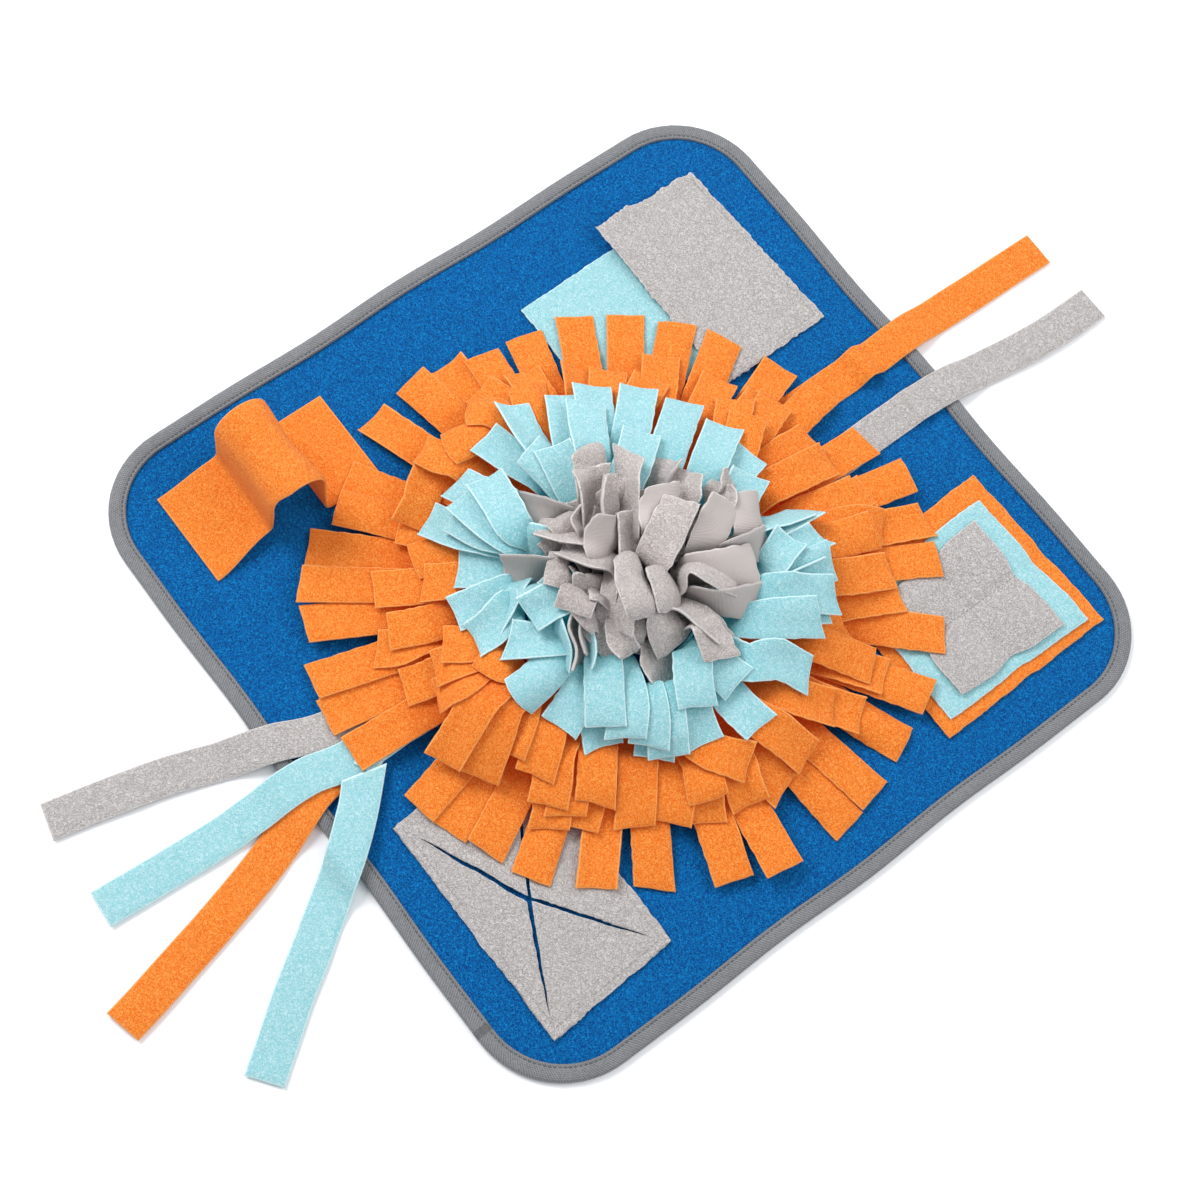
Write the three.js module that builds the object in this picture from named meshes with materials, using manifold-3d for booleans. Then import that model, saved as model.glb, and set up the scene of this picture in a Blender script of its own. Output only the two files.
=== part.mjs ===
// Snuffle mat for a dog: a fleece mat with a taped edge, a flower of fringed fleece bands,
// a tunnel loop, a pocket with a flap, a patch with crossed slits, stacked pages and six ties.
// Millimetres, +Z up. The origin is at the centre of the mat's underside, on the floor.
import * as THREE from 'three';
import { mergeVertices } from 'three/addons/utils/BufferGeometryUtils.js';
import Module from 'manifold-3d';

const wasm = await Module();
wasm.setup();

// ---- Driving dimensions ----

const CLOTH = 1.8;                 // thickness of one layer of fleece
const GAP = 0.3;                   // air between pieces that lie on each other
const LAYER = CLOTH + GAP;         // one more layer on a stack
const STRIP_WIDTH = 25;            // fringe strips and ties are cut to this width

const MAT = { width: 495, length: 505, thickness: 2.4, cornerRadius: 62, cornerSteps: 5 };
const EDGE_WAVE = { height: 1.1, perSide: 2.5, stepsPerSide: 6 };
const BINDING = { width: 11, fold: 1.4, lip: 1.7, crown: 0.5 };
const MAT_TOP = MAT.thickness + GAP;
const BINDING_TOP = MAT_TOP + BINDING.lip + BINDING.crown;

const FLOWER_CENTRE = { x: 15, y: -12 };
const POCKET = { x0: -184, x1: -80, y0: 54, y1: 150 };
const FLAP = { x0: -202, x1: -62, y0: 131, y1: 215, sewn: 14, cornerLift: 5.5, edgeLift: 0.6 };
const SLIT_PATCH = { x0: 46, x1: 210, y0: -218, y1: -122, slitWidth: 3.4, slitMargin: 15 };
const PAGES = [
  { name: 'page_orange', colour: 'orange', x0: 83, x1: 210, y0: 96, y1: 228, puff: 0.6 },
  { name: 'page_aqua', colour: 'aqua', x0: 98, x1: 202, y0: 103, y1: 217, puff: 1.2 },
  { name: 'page_grey', colour: 'grey', x0: 106, x1: 196, y0: 118, y1: 202, puff: 2.4 },
];
const PAGE_CENTRE = { x: 152, y: 161 };
const LOOP = {
  x0: -209, x1: -141, nearEnd: -213, nearFoot: -166, farFoot: -131, farEnd: -88,
  height: 64, footRadius: 5, rise: 8,
};

// A tie is sewn in under the flower, lies on the mat, goes over the binding and rests on the
// floor. Its level is its place in the stack where ties cross, and a hump is a standing fold.
const TIES = [
  {
    name: 'tie_grey_near', colour: 'grey', level: 0, levelEnd: -250,
    route: [[-24, -132], [-24, -200], [-37, -250], [-57, -315], [-74, -382]],
  },
  {
    name: 'tie_orange_near', colour: 'orange', level: 0, levelEnd: -250,
    route: [[14, -132], [14, -225], [18, -272], [37, -335], [56, -414]],
  },
  {
    name: 'tie_aqua_near', colour: 'aqua', level: 1, levelEnd: -296,
    route: [[1, -132], [-1, -205], [-6, -245], [-5, -312], [-10, -386]],
  },
  {
    name: 'tie_aqua_side', colour: 'aqua', level: 2, levelEnd: -266,
    route: [[8, -132], [13, -202], [42, -245], [92, -312], [131, -366]],
  },
  {
    name: 'tie_orange_far', colour: 'orange', level: 0, levelEnd: 250, humpAt: 214, humpHeight: 8,
    route: [[-22, 108], [-22, 205], [-22, 255], [-21, 315], [-20, 372]],
  },
  {
    name: 'tie_grey_far', colour: 'grey', level: 0, levelEnd: 250, humpAt: 224, humpHeight: 3,
    route: [[22, 108], [21, 205], [23, 255], [32, 318], [33, 376]],
  },
];
const TIE_STEPS = 20;
const TIE_LAYER = LAYER + 0.6;     // ties cross at a slant, so they lie a little further apart
const HUMP_HALF_LENGTH = 12;
const DROP_TO_FLOOR = 26;          // length over which a tie comes down from the binding

// Fringed bands, from the outermost to the top tuft. Radii are from the flower's centre and
// heights are from the floor. Each band is a comb: a sewn strip with its strips fused to it.
// Loose scales its scatter, and stand is how far a tip rises for each millimetre it falls short.
const TIERS = [
  ['fringe_orange_outer', 'orange', 36, 106, 140, 13, 198, 4.6, 1, 0],
  ['fringe_orange_middle', 'orange', 32, 92, 124, 22, 166, 14.6, 1, 0],
  ['fringe_orange_inner', 'orange', 28, 78, 108, 31, 147, 24, 1, 0],
  ['fringe_aqua_outer', 'aqua', 26, 65, 92, 40, 124, 33.4, 1.1, 0],
  ['fringe_aqua_inner', 'aqua', 22, 52, 77, 48, 104, 42, 1.1, 0],
  ['fringe_grey_outer', 'grey', 18, 39, 60, 56, 82, 50, 1.2, 0],
  ['fringe_grey_middle', 'grey', 14, 25, 41, 63, 62, 58, 1.2, 0],
  ['fringe_grey_top', 'grey', 9, 11, 19, 72, 33, 67.5, 1.7, 0.35],
].map(([name, colour, count, root, crown, height, tip, tipHeight, loose, stand]) => (
  { name, colour, count, root, crown, height, tip, tipHeight, loose, stand }
));
const BAND = { halfWidth: 2.4, height: 3.4, sides: 28 };
const STRIP_STEPS = 4;
const ROOT_SHARE = 0.76;           // share of its pitch that a strip fills where it is sewn
const ROOT_LENGTH = 0.22;          // share of its length over which a strip stays gathered
const REACH_SCATTER = 6;
const SWAY_SCATTER = 5;            // sideways drift of a tip
const TWIST_SCATTER = 0.05;        // turn of a tip about its own length, in radians
const RAMP = 9;                    // a strip climbs onto a laid piece over this length
const LOOP_SIDE = { turn: -2.51, halfWidth: 0.3, shorten: 14 };   // strips that stop at the loop

const COLOURS = {
  blue: [0x1b4f93, 0.95], binding: [0x6d7076, 0.9], orange: [0xf47b20, 0.92],
  aqua: [0x8fdde0, 0.92], grey: [0xb4aca8, 0.93],
};

// ---- Small helpers ----

const clamp01 = (value) => Math.min(1, Math.max(0, value));
const smooth = (value) => clamp01(value) ** 2 * (3 - 2 * clamp01(value));
const mix = (from, to, share) => from + (to - from) * share;

// Repeatable scatter: the same seed always gives the same number, from -amount to amount.
function scatter(seed, amount) {
  const value = Math.sin(seed * 12.9898) * 43758.5453;
  return (2 * (value - Math.floor(value)) - 1) * amount;
}

function indexedGeometry(points, triangles) {
  const geometry = new THREE.BufferGeometry();
  const numbers = points.flatMap((point) => [point.x, point.y, point.z]);
  geometry.setAttribute('position', new THREE.Float32BufferAttribute(numbers, 3));
  geometry.setIndex(triangles);
  return geometry;
}

// Volume inside the mesh, negative where its faces point inwards.
function signedVolume(points, triangles) {
  let volume = 0;
  for (let i = 0; i < triangles.length; i += 3) {
    const [a, b, c] = [0, 1, 2].map((corner) => points[triangles[i + corner]]);
    volume += new THREE.Vector3().crossVectors(a, b).dot(c) / 6;
  }
  return volume;
}

// Skins a row of sections. Each section goes along its underside and back along its top, so an
// open row is capped with a ladder of quads between the two. A looped row needs no caps.
function skin(sections, looped = false) {
  const size = sections[0].length;
  const points = sections.flat();
  const triangles = [];
  const spans = looped ? sections.length : sections.length - 1;
  for (let i = 0; i < spans; i++) {
    const here = i * size;
    const next = ((i + 1) % sections.length) * size;
    for (let j = 0; j < size; j++) {
      const k = (j + 1) % size;
      triangles.push(here + j, next + j, next + k, here + j, next + k, here + k);
    }
  }
  if (!looped) {
    const last = (sections.length - 1) * size;
    for (let j = 0; j < size / 2 - 1; j++) {
      const [k, m, n] = [j + 1, size - 2 - j, size - 1 - j];
      triangles.push(j, k, m, j, m, n);
      triangles.push(last + j, last + m, last + k, last + j, last + n, last + m);
    }
  }
  if (signedVolume(points, triangles) < 0) triangles.reverse();
  return indexedGeometry(points, triangles);
}

function toSolid(geometry) {
  const merged = mergeVertices(geometry, 1e-4);
  return new wasm.Manifold(new wasm.Mesh({
    numProp: 3,
    vertProperties: new Float32Array(merged.attributes.position.array),
    triVerts: new Uint32Array(merged.index.array),
  }));
}

function fromSolid(solid) {
  const mesh = solid.getMesh();
  const geometry = new THREE.BufferGeometry();
  geometry.setAttribute('position', new THREE.BufferAttribute(new Float32Array(mesh.vertProperties), 3));
  geometry.setIndex(new THREE.BufferAttribute(new Uint32Array(mesh.triVerts), 1));
  return geometry;
}

const part = new THREE.Group();

function addPiece(name, geometry, colourName) {
  const [color, roughness] = COLOURS[colourName];
  const material = new THREE.MeshStandardMaterial({ color, roughness, metalness: 0 });
  const mesh = new THREE.Mesh(geometry, material);
  mesh.name = name;
  part.add(mesh);
}

// A sheet lying on a height field, thin and cut to a rectangle.
function laidSheet({ x0, x1, y0, y1 }, columns, rows, underside) {
  const sections = [];
  for (let i = 0; i <= columns; i++) {
    const x = mix(x0, x1, i / columns);
    const under = [];
    for (let j = 0; j <= rows; j++) {
      const y = mix(y0, y1, j / rows);
      under.push(new THREE.Vector3(x, y, underside(x, y)));
    }
    const over = under.map((point) => new THREE.Vector3(point.x, point.y, point.z + CLOTH)).reverse();
    sections.push([...under, ...over]);
  }
  return skin(sections);
}

// ---- Mat and binding ----

// Points along the mat's outline, drawn in by an inset, with the slight waves of a sewn edge.
function matOutline(inset) {
  const halfX = MAT.width / 2 - inset;
  const halfY = MAT.length / 2 - inset;
  const radius = MAT.cornerRadius - inset;
  const corners = [[1, -1, -90], [1, 1, 0], [-1, 1, 90], [-1, -1, 180]];
  const points = [];
  corners.forEach(([signX, signY, startAngle], corner) => {
    const centre = [signX * (halfX - radius), signY * (halfY - radius)];
    for (let step = 0; step <= MAT.cornerSteps; step++) {
      const angle = THREE.MathUtils.degToRad(startAngle + 90 * step / MAT.cornerSteps);
      points.push([centre[0] + radius * Math.cos(angle), centre[1] + radius * Math.sin(angle)]);
    }
    const alongY = corner % 2 === 0;
    const length = alongY ? 2 * (halfY - radius) : 2 * (halfX - radius);
    for (let step = 1; step < EDGE_WAVE.stepsPerSide; step++) {
      const share = step / EDGE_WAVE.stepsPerSide;
      const waves = Math.sin(2 * Math.PI * EDGE_WAVE.perSide * share);
      const wave = EDGE_WAVE.height * Math.sin(Math.PI * share) * waves;
      const start = points[points.length - step];
      points.push(alongY
        ? [signX * (halfX + wave), start[1] + signX * length * share]
        : [start[0] - signY * length * share, signY * (halfY + wave)]);
    }
  });
  return points;
}

function binding() {
  // The tape's section, from the floor up its outer fold, over and down to the mat's top.
  const section = [
    [0.5, 0], [0, 0.9], [0, MAT_TOP + 0.4], [0.9, BINDING_TOP - 0.4], [BINDING.width / 2, BINDING_TOP],
    [BINDING.width, MAT_TOP + BINDING.lip - 0.3], [BINDING.width, MAT_TOP], [BINDING.fold, MAT_TOP],
    [BINDING.fold, 0],
  ];
  const outlines = section.map(([inset]) => matOutline(inset));
  const sections = outlines[0].map((_, i) => section.map(([, height], j) => (
    new THREE.Vector3(outlines[j][i][0], outlines[j][i][1], height)
  )));
  return skin(sections, true);
}

function matBase() {
  const shape = new THREE.Shape(matOutline(BINDING.fold + GAP).map(([x, y]) => new THREE.Vector2(x, y)));
  return new THREE.ExtrudeGeometry(shape, { depth: MAT.thickness, bevelEnabled: false });
}

addPiece('base_mat', matBase(), 'blue');
addPiece('binding', binding(), 'binding');

// ---- Pocket and flap ----

// The flap is sewn along its far and right sides and lifts towards its free corner.
// Where it covers the pocket's edge it lies one layer higher.
function flapUnderside(x, y) {
  const free = smooth((FLAP.y1 - FLAP.sewn - y) / (FLAP.y1 - FLAP.y0 - FLAP.sewn));
  const towardsCorner = smooth((FLAP.x1 - FLAP.sewn - x) / (FLAP.x1 - FLAP.x0 - FLAP.sewn));
  const overPocket = LAYER * smooth((POCKET.y1 + 2 * RAMP - y) / RAMP) * smooth((FLAP.x1 - x) / RAMP);
  return MAT_TOP + overPocket + free * (FLAP.edgeLift + FLAP.cornerLift * towardsCorner ** 2);
}

addPiece('pocket_aqua', laidSheet(POCKET, 1, 1, () => MAT_TOP), 'aqua');
addPiece('flap_grey', laidSheet(FLAP, 8, 6, flapUnderside), 'grey');

// ---- Patch with crossed slits ----

function slitPatch() {
  const { x0, x1, y0, y1, slitWidth, slitMargin } = SLIT_PATCH;
  const corners = [[x0, y0], [x1, y0], [x1, y1], [x0, y1]].map(([x, y]) => new THREE.Vector2(x, y));
  const centre = new THREE.Vector2((x0 + x1) / 2, (y0 + y1) / 2);
  const tips = corners.map((corner) => {
    const arm = corner.clone().sub(centre);
    return arm.setLength(arm.length() - slitMargin).add(centre);
  });
  // One star-shaped hole: four slits that taper to their tips and meet at the centre.
  const star = tips.flatMap((tip, i) => {
    const between = tips[(i + 1) % 4].clone().add(tip).multiplyScalar(0.5).sub(centre);
    return [tip, between.setLength(slitWidth / 2).add(centre)];
  });
  const patch = new THREE.Shape(corners);
  patch.holes.push(new THREE.Path(star));
  const geometry = new THREE.ExtrudeGeometry(patch, { depth: CLOTH, bevelEnabled: false });
  return geometry.translate(0, 0, MAT_TOP);
}

addPiece('slit_patch', slitPatch(), 'grey');

// ---- Pages ----

// Crossed stitch lines hold the pages down, and their free edges puff up in four pillows.
function pagePuff(x, y) {
  const fromLine = (distance) => smooth(Math.abs(distance) / 30);
  return fromLine(x - PAGE_CENTRE.x) * fromLine(y - PAGE_CENTRE.y);
}

PAGES.forEach((page, level) => {
  const underside = (x, y) => MAT_TOP + LAYER * level + page.puff * pagePuff(x, y);
  addPiece(page.name, laidSheet(page, 6, 6, underside), page.colour);
});

// ---- Tunnel loop ----

// A strip that rises gently to a crease, stands up as a round-topped arch and runs flat again.
function loopRoute() {
  const { nearEnd, nearFoot, farFoot, farEnd, height, footRadius, rise } = LOOP;
  const crownRadius = (farFoot - nearFoot) / 2;
  const route = [0, 0.25, 0.5, 0.75].map((share) => (
    [mix(nearEnd, nearFoot - footRadius, share), MAT_TOP + rise * smooth(share)]
  ));
  const arc = (y, z, radius, from, to, steps) => {
    for (let i = 0; i <= steps; i++) {
      const angle = THREE.MathUtils.degToRad(mix(from, to, i / steps));
      route.push([y + radius * Math.cos(angle), z + radius * Math.sin(angle)]);
    }
  };
  arc(nearFoot - footRadius, MAT_TOP + rise + footRadius, footRadius, -90, 0, 3);
  arc((nearFoot + farFoot) / 2, height - crownRadius, crownRadius, 180, 0, 8);
  arc(farFoot + footRadius, MAT_TOP + footRadius, footRadius, 180, 270, 3);
  route.push([farEnd, MAT_TOP]);
  return route;
}

// Sweeps a strip's section along a route of centre points, with its thickness on the upper side.
function sweptStrip(centres, acrossAt, halfWidthAt) {
  const sections = centres.map((centre, i) => {
    const before = centres[Math.max(0, i - 1)];
    const after = centres[Math.min(centres.length - 1, i + 1)];
    const along = after.clone().sub(before).normalize();
    const across = acrossAt(i, along).multiplyScalar(halfWidthAt(i));
    const up = new THREE.Vector3().crossVectors(along, across).normalize().multiplyScalar(CLOTH);
    const left = centre.clone().add(across);
    const right = centre.clone().sub(across);
    return [left, right, right.clone().add(up), left.clone().add(up)];
  });
  return skin(sections);
}

function tunnelLoop() {
  const middle = (LOOP.x0 + LOOP.x1) / 2;
  const centres = loopRoute().map(([y, z]) => new THREE.Vector3(middle, y, z));
  return sweptStrip(centres, () => new THREE.Vector3(-1, 0, 0), () => (LOOP.x1 - LOOP.x0) / 2);
}

addPiece('tunnel_loop', tunnelLoop(), 'orange');

// ---- Ties ----

// Height of a tie's underside at a point of its route: flat on the mat at its place in the stack,
// over the binding, then down to the floor.
function tieUnderside(tie, y) {
  const outwards = Math.sign(tie.levelEnd);
  const past = outwards * y - MAT.length / 2;
  const pastStack = smooth((outwards * (y - tie.levelEnd) + RAMP) / RAMP);
  const stacked = TIE_LAYER * tie.level * (1 - pastStack);
  const overBinding = BINDING_TOP + 2 * GAP - MAT_TOP;
  const onMat = MAT_TOP + overBinding * smooth((past + BINDING.width + 2 * RAMP) / (2 * RAMP));
  const hump = tie.humpAt ? tie.humpHeight * smooth(1 - Math.abs(y - tie.humpAt) / HUMP_HALF_LENGTH) : 0;
  return onMat * (1 - smooth((past - 2) / DROP_TO_FLOOR)) + stacked + hump;
}

function tieStrip(tie) {
  const plan = new THREE.CatmullRomCurve3(tie.route.map(([x, y]) => new THREE.Vector3(x, y, 0)));
  const sections = Array.from({ length: TIE_STEPS + 1 }, (_, step) => {
    const centre = plan.getPointAt(step / TIE_STEPS);
    const along = plan.getTangentAt(step / TIE_STEPS);
    const across = new THREE.Vector3(-along.y, along.x, 0).multiplyScalar(STRIP_WIDTH / 2);
    const under = [centre.clone().add(across), centre.clone().sub(across)];
    under.forEach((edge) => { edge.z = tieUnderside(tie, edge.y); });
    const over = under.map((edge) => new THREE.Vector3(edge.x, edge.y, edge.z + CLOTH)).reverse();
    return [...under, ...over];
  });
  return skin(sections);
}

TIES.forEach((tie) => addPiece(tie.name, tieStrip(tie), tie.colour));

// ---- Flower of fringed bands ----

// Laid pieces that the fringe rests on: their outlines and the height of their tops.
const SUPPORTS = [
  { ...POCKET, top: MAT_TOP + CLOTH },
  { ...FLAP, top: MAT_TOP + LAYER + CLOTH + FLAP.edgeLift },
  { ...SLIT_PATCH, top: MAT_TOP + CLOTH },
  ...PAGES.map((page, level) => ({ ...page, top: MAT_TOP + LAYER * level + CLOTH + page.puff })),
  { x0: LOOP.x0, x1: LOOP.x1, y0: LOOP.farFoot, y1: LOOP.farEnd, top: MAT_TOP + CLOTH },
  { x0: -40, x1: 30, y0: -250, y1: -132, top: MAT_TOP + 2 * TIE_LAYER + CLOTH },
  { x0: -38, x1: 38, y0: 108, y1: 250, top: MAT_TOP + CLOTH },
];

function supportHeight(x, y) {
  const heights = SUPPORTS.map(({ x0, x1, y0, y1, top }) => {
    const outsideX = Math.max(x0 - x, x - x1, 0);
    const outsideY = Math.max(y0 - y, y - y1, 0);
    return mix(MAT_TOP, top, smooth(1.4 - Math.hypot(outsideX, outsideY) / RAMP));
  });
  return Math.max(MAT_TOP, ...heights);
}

// One strip of a band: it stands up from its root, bends over and hangs outwards. Every second
// strip lies a layer higher, so neighbours that cross stay apart.
function fringeStrip(tier, level, index) {
  const seed = level * 100 + index + 1;
  const turn = (index * 2 * Math.PI) / tier.count + level;
  const fromLoop = Math.abs(Math.sin((turn - LOOP_SIDE.turn) / 2)) * 2;
  const stopShort = level === 0 ? LOOP_SIDE.shorten * smooth(1.5 - fromLoop / LOOP_SIDE.halfWidth) : 0;
  const reach = tier.tip + scatter(seed + 0.2, REACH_SCATTER * tier.loose) - stopShort;
  const tipHeight = tier.tipHeight + tier.stand * (tier.tip - reach);
  const sway = scatter(seed + 0.4, SWAY_SCATTER * tier.loose);
  const twist = scatter(seed + 0.6, TWIST_SCATTER * tier.loose);
  const radial = new THREE.Vector3(Math.cos(turn), Math.sin(turn), 0);
  const sideways = new THREE.Vector3(-radial.y, radial.x, 0);
  const profile = new THREE.CubicBezierCurve(
    new THREE.Vector2(tier.root, MAT_TOP + 1), new THREE.Vector2(tier.root + 3, tier.height),
    new THREE.Vector2(tier.crown, tier.height), new THREE.Vector2(reach, tipHeight),
  );
  const rootHalf = Math.min(ROOT_SHARE * Math.PI * tier.root / tier.count, STRIP_WIDTH / 2);
  const halfWidth = (share) => mix(rootHalf, STRIP_WIDTH / 2, smooth((share - ROOT_LENGTH) / 0.6));
  const shares = Array.from({ length: STRIP_STEPS + 1 }, (_, step) => step / STRIP_STEPS);
  const centres = shares.map((share) => {
    const point = profile.getPoint(share);
    const tangent = profile.getTangent(share);
    const lift = (index % 2) * (LAYER + 0.2) * smooth(share / ROOT_LENGTH);
    const centre = new THREE.Vector3(FLOWER_CENTRE.x, FLOWER_CENTRE.y, point.y + tangent.x * lift);
    centre.addScaledVector(radial, point.x - tangent.y * lift);
    centre.addScaledVector(sideways, sway * share ** 2);
    const support = Math.max(...[-1, 0, 1].map((side) => {
      const edge = centre.clone().addScaledVector(sideways, side * halfWidth(share));
      return supportHeight(edge.x, edge.y);
    }));
    const lowest = support + GAP + 1 + level * 3 * LAYER + lift;
    if (share > 0) centre.z = Math.max(centre.z, lowest);
    return centre;
  });
  const across = (i, along) => {
    const level = sideways.clone().addScaledVector(along, -along.dot(sideways)).normalize();
    return level.applyAxisAngle(along, twist * shares[i]);
  };
  return sweptStrip(centres, across, (i) => halfWidth(shares[i]));
}

// The sewn strip under a band's roots, a narrow ring with a four-sided section.
function bandRing(tier) {
  const corners = [[-1, 0], [1, 0], [1, 1], [-1, 1]];
  const sections = Array.from({ length: BAND.sides }, (_, i) => {
    const angle = 2 * Math.PI * i / BAND.sides;
    return corners.map(([side, top]) => {
      const radius = tier.root + side * BAND.halfWidth;
      return new THREE.Vector3(
        FLOWER_CENTRE.x + radius * Math.cos(angle), FLOWER_CENTRE.y + radius * Math.sin(angle),
        MAT_TOP + top * BAND.height,
      );
    });
  });
  return skin(sections, true);
}

TIERS.forEach((tier, level) => {
  const strips = Array.from({ length: tier.count }, (_, index) => toSolid(fringeStrip(tier, level, index)));
  const band = strips.reduce((joined, strip) => joined.add(strip), toSolid(bandRing(tier)));
  addPiece(tier.name, fromSolid(band), tier.colour);
});

export default part;
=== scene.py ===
# A snuffle mat for a dog: a fleece mat with a taped edge, a flower of fringed bands, a tunnel
# loop, a pocket with a flap, a slit patch, three pages and six ties.
import math

import bmesh
import bpy
import numpy as np
from mathutils import Matrix, Vector


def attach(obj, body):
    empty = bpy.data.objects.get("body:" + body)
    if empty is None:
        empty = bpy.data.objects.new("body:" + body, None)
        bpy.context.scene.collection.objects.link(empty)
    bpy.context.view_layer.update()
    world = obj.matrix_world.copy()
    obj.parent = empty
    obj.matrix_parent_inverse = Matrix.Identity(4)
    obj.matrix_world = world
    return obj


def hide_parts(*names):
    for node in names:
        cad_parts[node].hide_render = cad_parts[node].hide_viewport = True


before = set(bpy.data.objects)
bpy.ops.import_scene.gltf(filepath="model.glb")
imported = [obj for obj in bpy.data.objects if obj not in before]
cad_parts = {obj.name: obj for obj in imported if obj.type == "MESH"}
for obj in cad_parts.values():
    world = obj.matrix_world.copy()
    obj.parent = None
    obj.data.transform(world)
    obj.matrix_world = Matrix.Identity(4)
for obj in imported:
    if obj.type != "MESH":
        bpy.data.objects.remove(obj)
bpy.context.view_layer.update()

MM = 0.001

# ---------------------------------------------------------------------------------------------
# Camera, floor and studio light. The camera looks down on the mat from its near right corner,
# rolled a little. A white floor, an even white surround and two large soft lamps light it.

FRAME_SIDE = 1200
FOCAL_PIXELS = 2387
SENSOR = 36
CAMERA_TURN = math.radians(40.0)
CAMERA_RISE = math.radians(69.2)
CAMERA_ROLL = math.radians(13.41)
CAMERA_DISTANCE = 1510
CAMERA_AIM = (7.4, -25.2, 0)


def toward(turn, rise):
    """The direction from the mat to something seen at that turn and rise."""
    flat = math.cos(rise)
    return Vector((math.sin(turn) * flat, -math.cos(turn) * flat, math.sin(rise)))


camera_data = bpy.data.cameras.new("camera")
camera_data.sensor_width = SENSOR
camera_data.lens = FOCAL_PIXELS / FRAME_SIDE * SENSOR
camera_data.clip_start, camera_data.clip_end = 0.05, 50
camera = bpy.data.objects.new("camera", camera_data)
bpy.context.collection.objects.link(camera)
back = toward(CAMERA_TURN, CAMERA_RISE)
level_right = Vector((math.cos(CAMERA_TURN), math.sin(CAMERA_TURN), 0))
upright = back.cross(level_right)
right = math.cos(CAMERA_ROLL) * level_right + math.sin(CAMERA_ROLL) * upright
up = math.cos(CAMERA_ROLL) * upright - math.sin(CAMERA_ROLL) * level_right
pose = Matrix((right, up, back)).transposed().to_4x4()
pose.translation = (Vector(CAMERA_AIM) + back * CAMERA_DISTANCE) * MM
camera.matrix_world = pose
bpy.context.scene.camera = camera
bpy.context.scene.view_settings.view_transform = "Standard"

FLOOR_HALF, FLOOR_LEVEL = 9, -0.0003  # in metres
FLOOR_WHITE = (0.93, 0.94, 0.96, 1)
SURROUND_WHITE, SURROUND_STRENGTH = (0.97, 0.985, 1.0, 1), 0.62
floor_signs = ((-1, -1), (1, -1), (1, 1), (-1, 1))
floor_corners = [(x * FLOOR_HALF, y * FLOOR_HALF, FLOOR_LEVEL) for x, y in floor_signs]
floor_mesh = bpy.data.meshes.new("floor")
floor_mesh.from_pydata(floor_corners, [], [(0, 1, 2, 3)])
floor = bpy.data.objects.new("floor", floor_mesh)
bpy.context.collection.objects.link(floor)
floor_white = bpy.data.materials.new("floor white")
floor_white.use_nodes = True
floor_paint = floor_white.node_tree.nodes["Principled BSDF"].inputs
floor_paint["Base Color"].default_value = FLOOR_WHITE
floor_paint["Roughness"].default_value = 0.9
floor_mesh.materials.append(floor_white)

world = bpy.data.worlds.new("surround")
world.use_nodes = True
surround = world.node_tree.nodes["Background"].inputs
surround["Color"].default_value = SURROUND_WHITE
surround["Strength"].default_value = SURROUND_STRENGTH
bpy.context.scene.world = world

LAMPS = [  # name, turn, rise, distance in metres, side in metres, watts
    ("key", -75, 48, 2.2, 1.1, 39),
    ("fill", 150, 50, 2.2, 1.6, 21),
]
for name, turn, rise, distance, side, watts in LAMPS:
    lamp_data = bpy.data.lights.new(name, "AREA")
    lamp_data.size = side
    lamp_data.energy = watts
    lamp = bpy.data.objects.new(name, lamp_data)
    bpy.context.collection.objects.link(lamp)
    aim = toward(math.radians(turn), math.radians(rise))
    lamp.location = aim * distance
    lamp.rotation_mode = "QUATERNION"
    lamp.rotation_quaternion = aim.to_track_quat("Z", "Y")

# ---------------------------------------------------------------------------------------------
# The base mat: one layer of blue fleece with a pebbled pile, cut to a square with rounded
# corners. It lies flat on the floor, with faint swells in its top.

# Each colour list holds a plain colour, a deep one laid in as painted shade in the grain's hollows and where
# a strip lies deep among others, and a pale one for grain crests and cut rims, partly painted highlight.
BLUE = [(0.001, 0.108, 0.38), (0.0005, 0.025, 0.13), (0.006, 0.31, 0.66)]  # plain, deep and pale
GAP = 0.3
MAT_WIDTH = 495
MAT_LENGTH = 505
MAT_THICKNESS = 2.4
MAT_TOP = MAT_THICKNESS + GAP
CORNER_RADIUS = 62
EDGE_WAVE = 1.1
WAVES_PER_SIDE = 2.5
DEEPEST_INSET = CORNER_RADIUS - 4  # the rings within this one are drawn to scale from it
SWELL = 0.25
TAPE_FOLD = 1.4


class Value:
    """A shader socket. Arithmetic on it adds Math nodes."""

    def __init__(self, finish, socket):
        self.finish, self.socket = finish, socket

    def math(self, operation, first, second):
        return self.finish.node("ShaderNodeMath", {"operation": operation}, {0: first, 1: second})

    def __add__(self, other):
        return self.math("ADD", self, other)

    def __sub__(self, other):
        return self.math("SUBTRACT", self, other)

    def __rsub__(self, other):
        return self.math("SUBTRACT", other, self)

    def __mul__(self, other):
        return self.math("MULTIPLY", self, other)

    __radd__, __rmul__ = __add__, __mul__


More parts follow.
